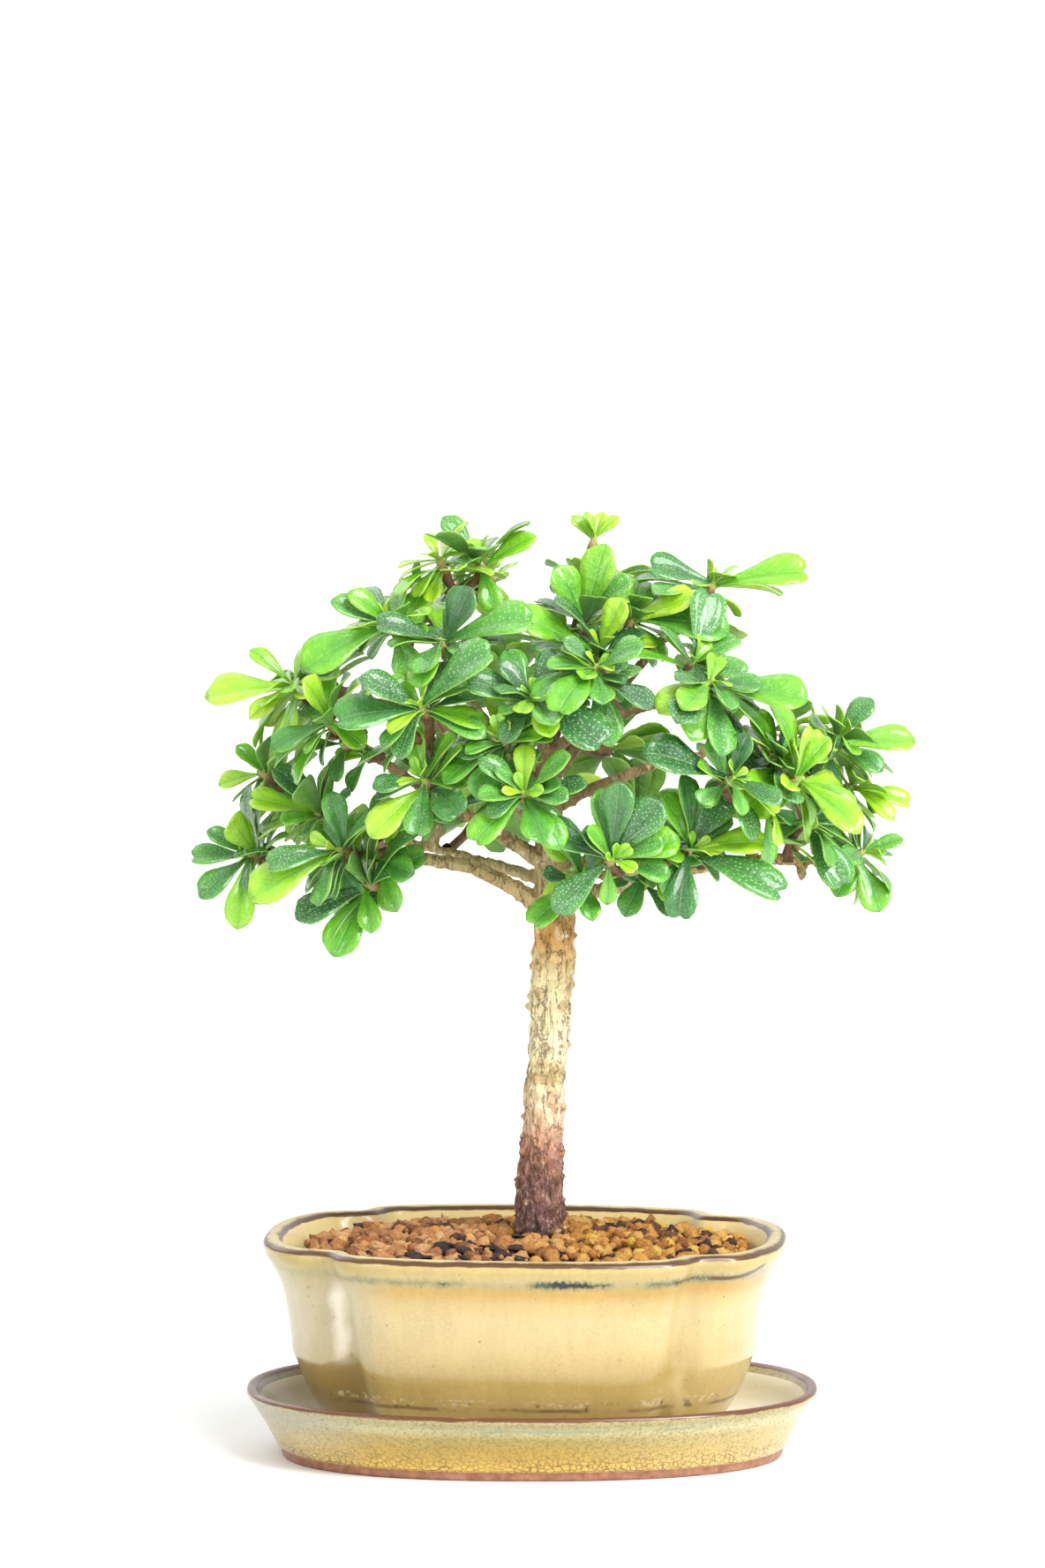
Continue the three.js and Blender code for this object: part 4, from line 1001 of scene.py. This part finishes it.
class Crowd:
    # remembers the places that leaves take, in cells as wide as the room between two leaves
    def __init__(self, room):
        self.room = room
        self.cells = {}

    def cellOf(self, p):
        return tuple(math.floor(c / self.room) for c in p)

    def add(self, points):
        for p in points:
            self.cells.setdefault(self.cellOf(p), []).append(p)

    def isFree(self, points):
        steps = (-1, 0, 1)
        for p in points:
            x, y, z = self.cellOf(p)
            for i, j, k in itertools.product(steps, steps, steps):
                if any((q - p).length < self.room for q in self.cells.get((x + i, y + j, z + k), ())):
                    return False
        return True


def samplesOf(one):
    # a blade's own points, which keep other leaves away
    found = []
    side = one["run"].cross(one["lift"]).normalized()
    for t in (0.42, 0.56, 0.7, 0.85, 1.0):
        half = one["half"] * widthAt(min(t, 0.95))
        for s in (-0.85, -0.4, 0, 0.4, 0.85):
            found.append(spineOf(one, t) + side * half * s + one["lift"] * half * 0.3 * abs(s))
    return found


def newLeaf(base, direction, lift, length, rng):
    side = direction.cross(lift).normalized()
    lift = side.cross(direction).normalized()
    return {
        "base": base, "run": direction * length, "droop": lift * -length * rng.uniform(0.05, 0.24), "lift": lift,
        "half": length * rng.uniform(0.19, 0.24), "notched": rng.random() < 0.25,
    }


def dress(one, rng, young):
    # each leaf gets its own green, ripple, curl and dusting of pale dots
    shades = crown["youngShades" if young else "shades"]
    low, high, _ = rng.choices(shades, [shade[2] for shade in shades])[0]
    one["tone"] = rng.uniform(low, high)
    one["speckle"] = rng.choice((0.2, 0.6, 0.8, 1)) if one["tone"] < 0.45 else rng.choice((0, 0.1, 0.3))
    one["phase"] = rng.uniform(0, math.tau)
    one["curl"] = rng.uniform(0.0, 0.5)
    return one


def around(axis, turn, spread):
    # a direction at this spread from the axis, turned about it
    u = axis.orthogonal().normalized()
    v = axis.cross(u)
    return (axis * math.cos(spread) + (u * math.cos(turn) + v * math.sin(turn)) * math.sin(spread)).normalized()


def staysInCrown(one, packed):
    # the tip and the broad part lie near packed leaves, so the crown keeps its outline
    return all(packed.find(spineOf(one, t))[2] < crown["stray"] * mm for t in (0.65, 1))


def fillTuft(tuft, rng, number, crowd, packed):
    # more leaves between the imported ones, and small bright ones at the heart
    leaves = tuft["leaves"]
    young = number in crown["young"]
    for one in leaves:
        dress(one, rng, young)
    if number in crown["asPacked"]:
        return 0
    phase = rng.uniform(0, math.tau)
    added = 0
    for k in range(crown["tries"]):
        if added >= crown["extra"]:
            break
        spread = math.radians(rng.uniform(38, 108))
        direction = around(tuft["axis"], phase + crown["spiral"] * k, spread)
        base = tuft["place"].lerp(tuft["tip"], rng.uniform(0.1, 0.8))
        one = newLeaf(base, direction, tuft["axis"] + up * 0.5, rng.uniform(12, 24) * mm, rng)
        if staysInCrown(one, packed) and crowd.isFree(samplesOf(one)):
            crowd.add(samplesOf(one))
            leaves.append(dress(one, rng, young))
            added += 1
    for k in range(rng.choice(crown["heart"])):
        direction = around(tuft["axis"], phase + crown["spiral"] * k, math.radians(rng.uniform(14, 50)))
        base = tuft["tip"] - tuft["axis"] * 0.6 * mm
        one = newLeaf(base, direction, tuft["axis"] + direction * -0.6, rng.uniform(4.5, 9.5) * mm, rng)
        if staysInCrown(one, packed):
            leaves.append(dress(one, rng, True))
    return added


def buildTuft(tuft, looks, name, nodes):
    # blades get their thickness first, and the stem is added afterwards
    bm = bmesh.new()
    bm.loops.layers.uv.new("leaf")
    bm.verts.layers.float.new("tone")
    bm.verts.layers.float.new("speckle")
    for one in tuft["leaves"]:
        addLeaf(bm, one)
    bm.normal_update()
    topSide = set(bm.faces)
    bmesh.ops.solidify(bm, geom=bm.faces[:], thickness=leaf["thickness"] * mm)
    for face in bm.faces:
        face.material_index = 0 if face in topSide else 1
    for points, radii, tones in tuft["stems"]:
        addStem(bm, points, radii, tones)
    return newPiece(name, bm, looks, nodes)


def stemOf(tuft, woodSkin):
    # from inside the branch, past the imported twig's foot, to the heart of the tuft
    bark = woodSkin.find_nearest(tuft["start"])[0]
    inward = (bark - tuft["start"]).normalized()
    root = bark + inward * crown["sunk"] * mm
    knee = tuft["place"]
    points = [root, tuft["start"], tuft["start"].lerp(knee, 0.55) + tuft["axis"] * -0.4 * mm, knee,
              knee.lerp(tuft["tip"], 0.5), tuft["tip"]]
    return points, [r * mm for r in crown["stem"]], crown["stemTones"]


def innerTufts(crowd, packed):
    # small rosettes straight on the branches, where the crown would let the light through
    rng = random.Random(leaf["seed"])
    bm = cadCopy("trunk_and_branches")
    faces, areas = facesAbove(bm, crown["lowest"])
    found = []
    for k in range(crown["rosetteTries"]):
        if len(found) >= crown["rosettes"]:
            break
        face = rng.choices(faces, areas)[0]
        spot = face.calc_center_median().lerp(rng.choice(face.verts).co, rng.uniform(0, 0.7))
        out = (face.normal + outwardAt(spot) * 0.9).normalized()
        if out.z < -0.35:
            continue
        knee = spot + out * rng.uniform(2, 5) * mm
        tuft = {"start": spot + out * 0.5 * mm, "place": knee, "tip": knee + out * 3 * mm, "axis": out, "leaves": []}
        phase = rng.uniform(0, math.tau)
        for n in range(9):
            direction = around(out, phase + crown["spiral"] * n, math.radians(rng.uniform(35, 95)))
            base = knee.lerp(tuft["tip"], rng.random())
            one = newLeaf(base, direction, out + up * 0.4, rng.uniform(9, 18) * mm, rng)
            if staysInCrown(one, packed) and crowd.isFree(samplesOf(one)):
                tuft["leaves"].append(dress(one, rng, False))
        if len(tuft["leaves"]) >= 3:
            for one in tuft["leaves"]:
                crowd.add(samplesOf(one))
            found.append(tuft)
    bm.free()
    return found


def buildCrown():
    looks = [leafMaterial(name, look) for name, look in leafLooks.items()] + [twigMaterial()]
    woodSkin = BVHTree.FromBMesh(cadCopy("trunk_and_branches"))
    crowd = Crowd(crown["clear"] * mm)
    names = sorted(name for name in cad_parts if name.startswith("leafy_twig"))
    tufts = [readTwig(name, woodSkin) for name in names]
    print("packed leaves read:", sum(len(t["leaves"]) for t in tufts), "of", sum(t["packed"] for t in tufts))
    for tuft in tufts:
        for one in tuft["leaves"]:
            crowd.add(samplesOf(one))
    packed = treeOf([v.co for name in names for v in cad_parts[name].data.vertices])
    added = 0
    for number, tuft in enumerate(tufts):
        rng = random.Random(leaf["seed"] + number)
        added += fillTuft(tuft, rng, number + 1, crowd, packed)
        tuft["stems"] = [stemOf(tuft, woodSkin)]
    inner = innerTufts(crowd, packed)
    for tuft in tufts:
        buildTuft(tuft, looks, tuft["node"] + "_leaves", [tuft["node"]])
    gathered = {"leaves": [one for tuft in inner for one in tuft["leaves"]],
                "stems": [stemOf(tuft, woodSkin) for tuft in inner]}
    buildTuft(gathered, looks, "inner_rosettes", [])
    print("leaves added:", added, "and", len(gathered["leaves"]), "on", len(inner), "inner rosettes")


buildCrown()

# Studio: pale floor, white surroundings, two broad suns that light the floor evenly, and two soft boxes
studio = {
    "floor": 60, "white": 0.8,
    # name, turn about Z and height of the light in degrees, strength, softness in degrees
    "suns": [("key", 40, 48, 2.5, 32), ("back", -150, 45, 0.8, 60)],
    # soft boxes: place, width and height, power
    "boxes": [((-1.25, -1.15, 0.75), (0.3, 1.1), 4), ((1.2, -1.0, 0.9), (0.35, 0.9), 14)],
}


def buildStudio():
    scene = bpy.context.scene
    world = bpy.data.worlds.new("white room")
    scene.world = world
    world.use_nodes = True
    background = world.node_tree.nodes["Background"]
    background.inputs["Color"].default_value = (1, 1, 1, 1)
    background.inputs["Strength"].default_value = studio["white"]
    bm = bmesh.new()
    bmesh.ops.create_grid(bm, x_segments=1, y_segments=1, size=studio["floor"])
    floor = newObject("floor", meshFrom(bm, "floor"))
    floor.data.materials.append(newMaterial("floor_paper", Base_Color=(0.96, 0.96, 0.96, 1), Roughness=0.9)[0])
    for name, turn, height, strength, softness in studio["suns"]:
        light = bpy.data.lights.new(name, "SUN")
        light.energy = strength
        light.angle = math.radians(softness)
        lamp = newObject(name, light)
        # a sun points down its own -Z, so it is tipped away from the zenith and then turned
        lamp.rotation_euler = (math.radians(90 - height), 0, math.radians(turn))
    for place, size, power in studio["boxes"]:
        light = bpy.data.lights.new("soft box", "AREA")
        light.shape = "RECTANGLE"
        light.size, light.size_y = size
        light.energy = power
        lamp = newObject("soft box", light)
        lamp.location = place
        lamp.rotation_euler = (Vector((0, 0, 0.1)) - lamp.location).to_track_quat("-Z", "Y").to_euler()
    scene.view_settings.view_transform = "Standard"


buildStudio()
bpy.context.view_layer.update()
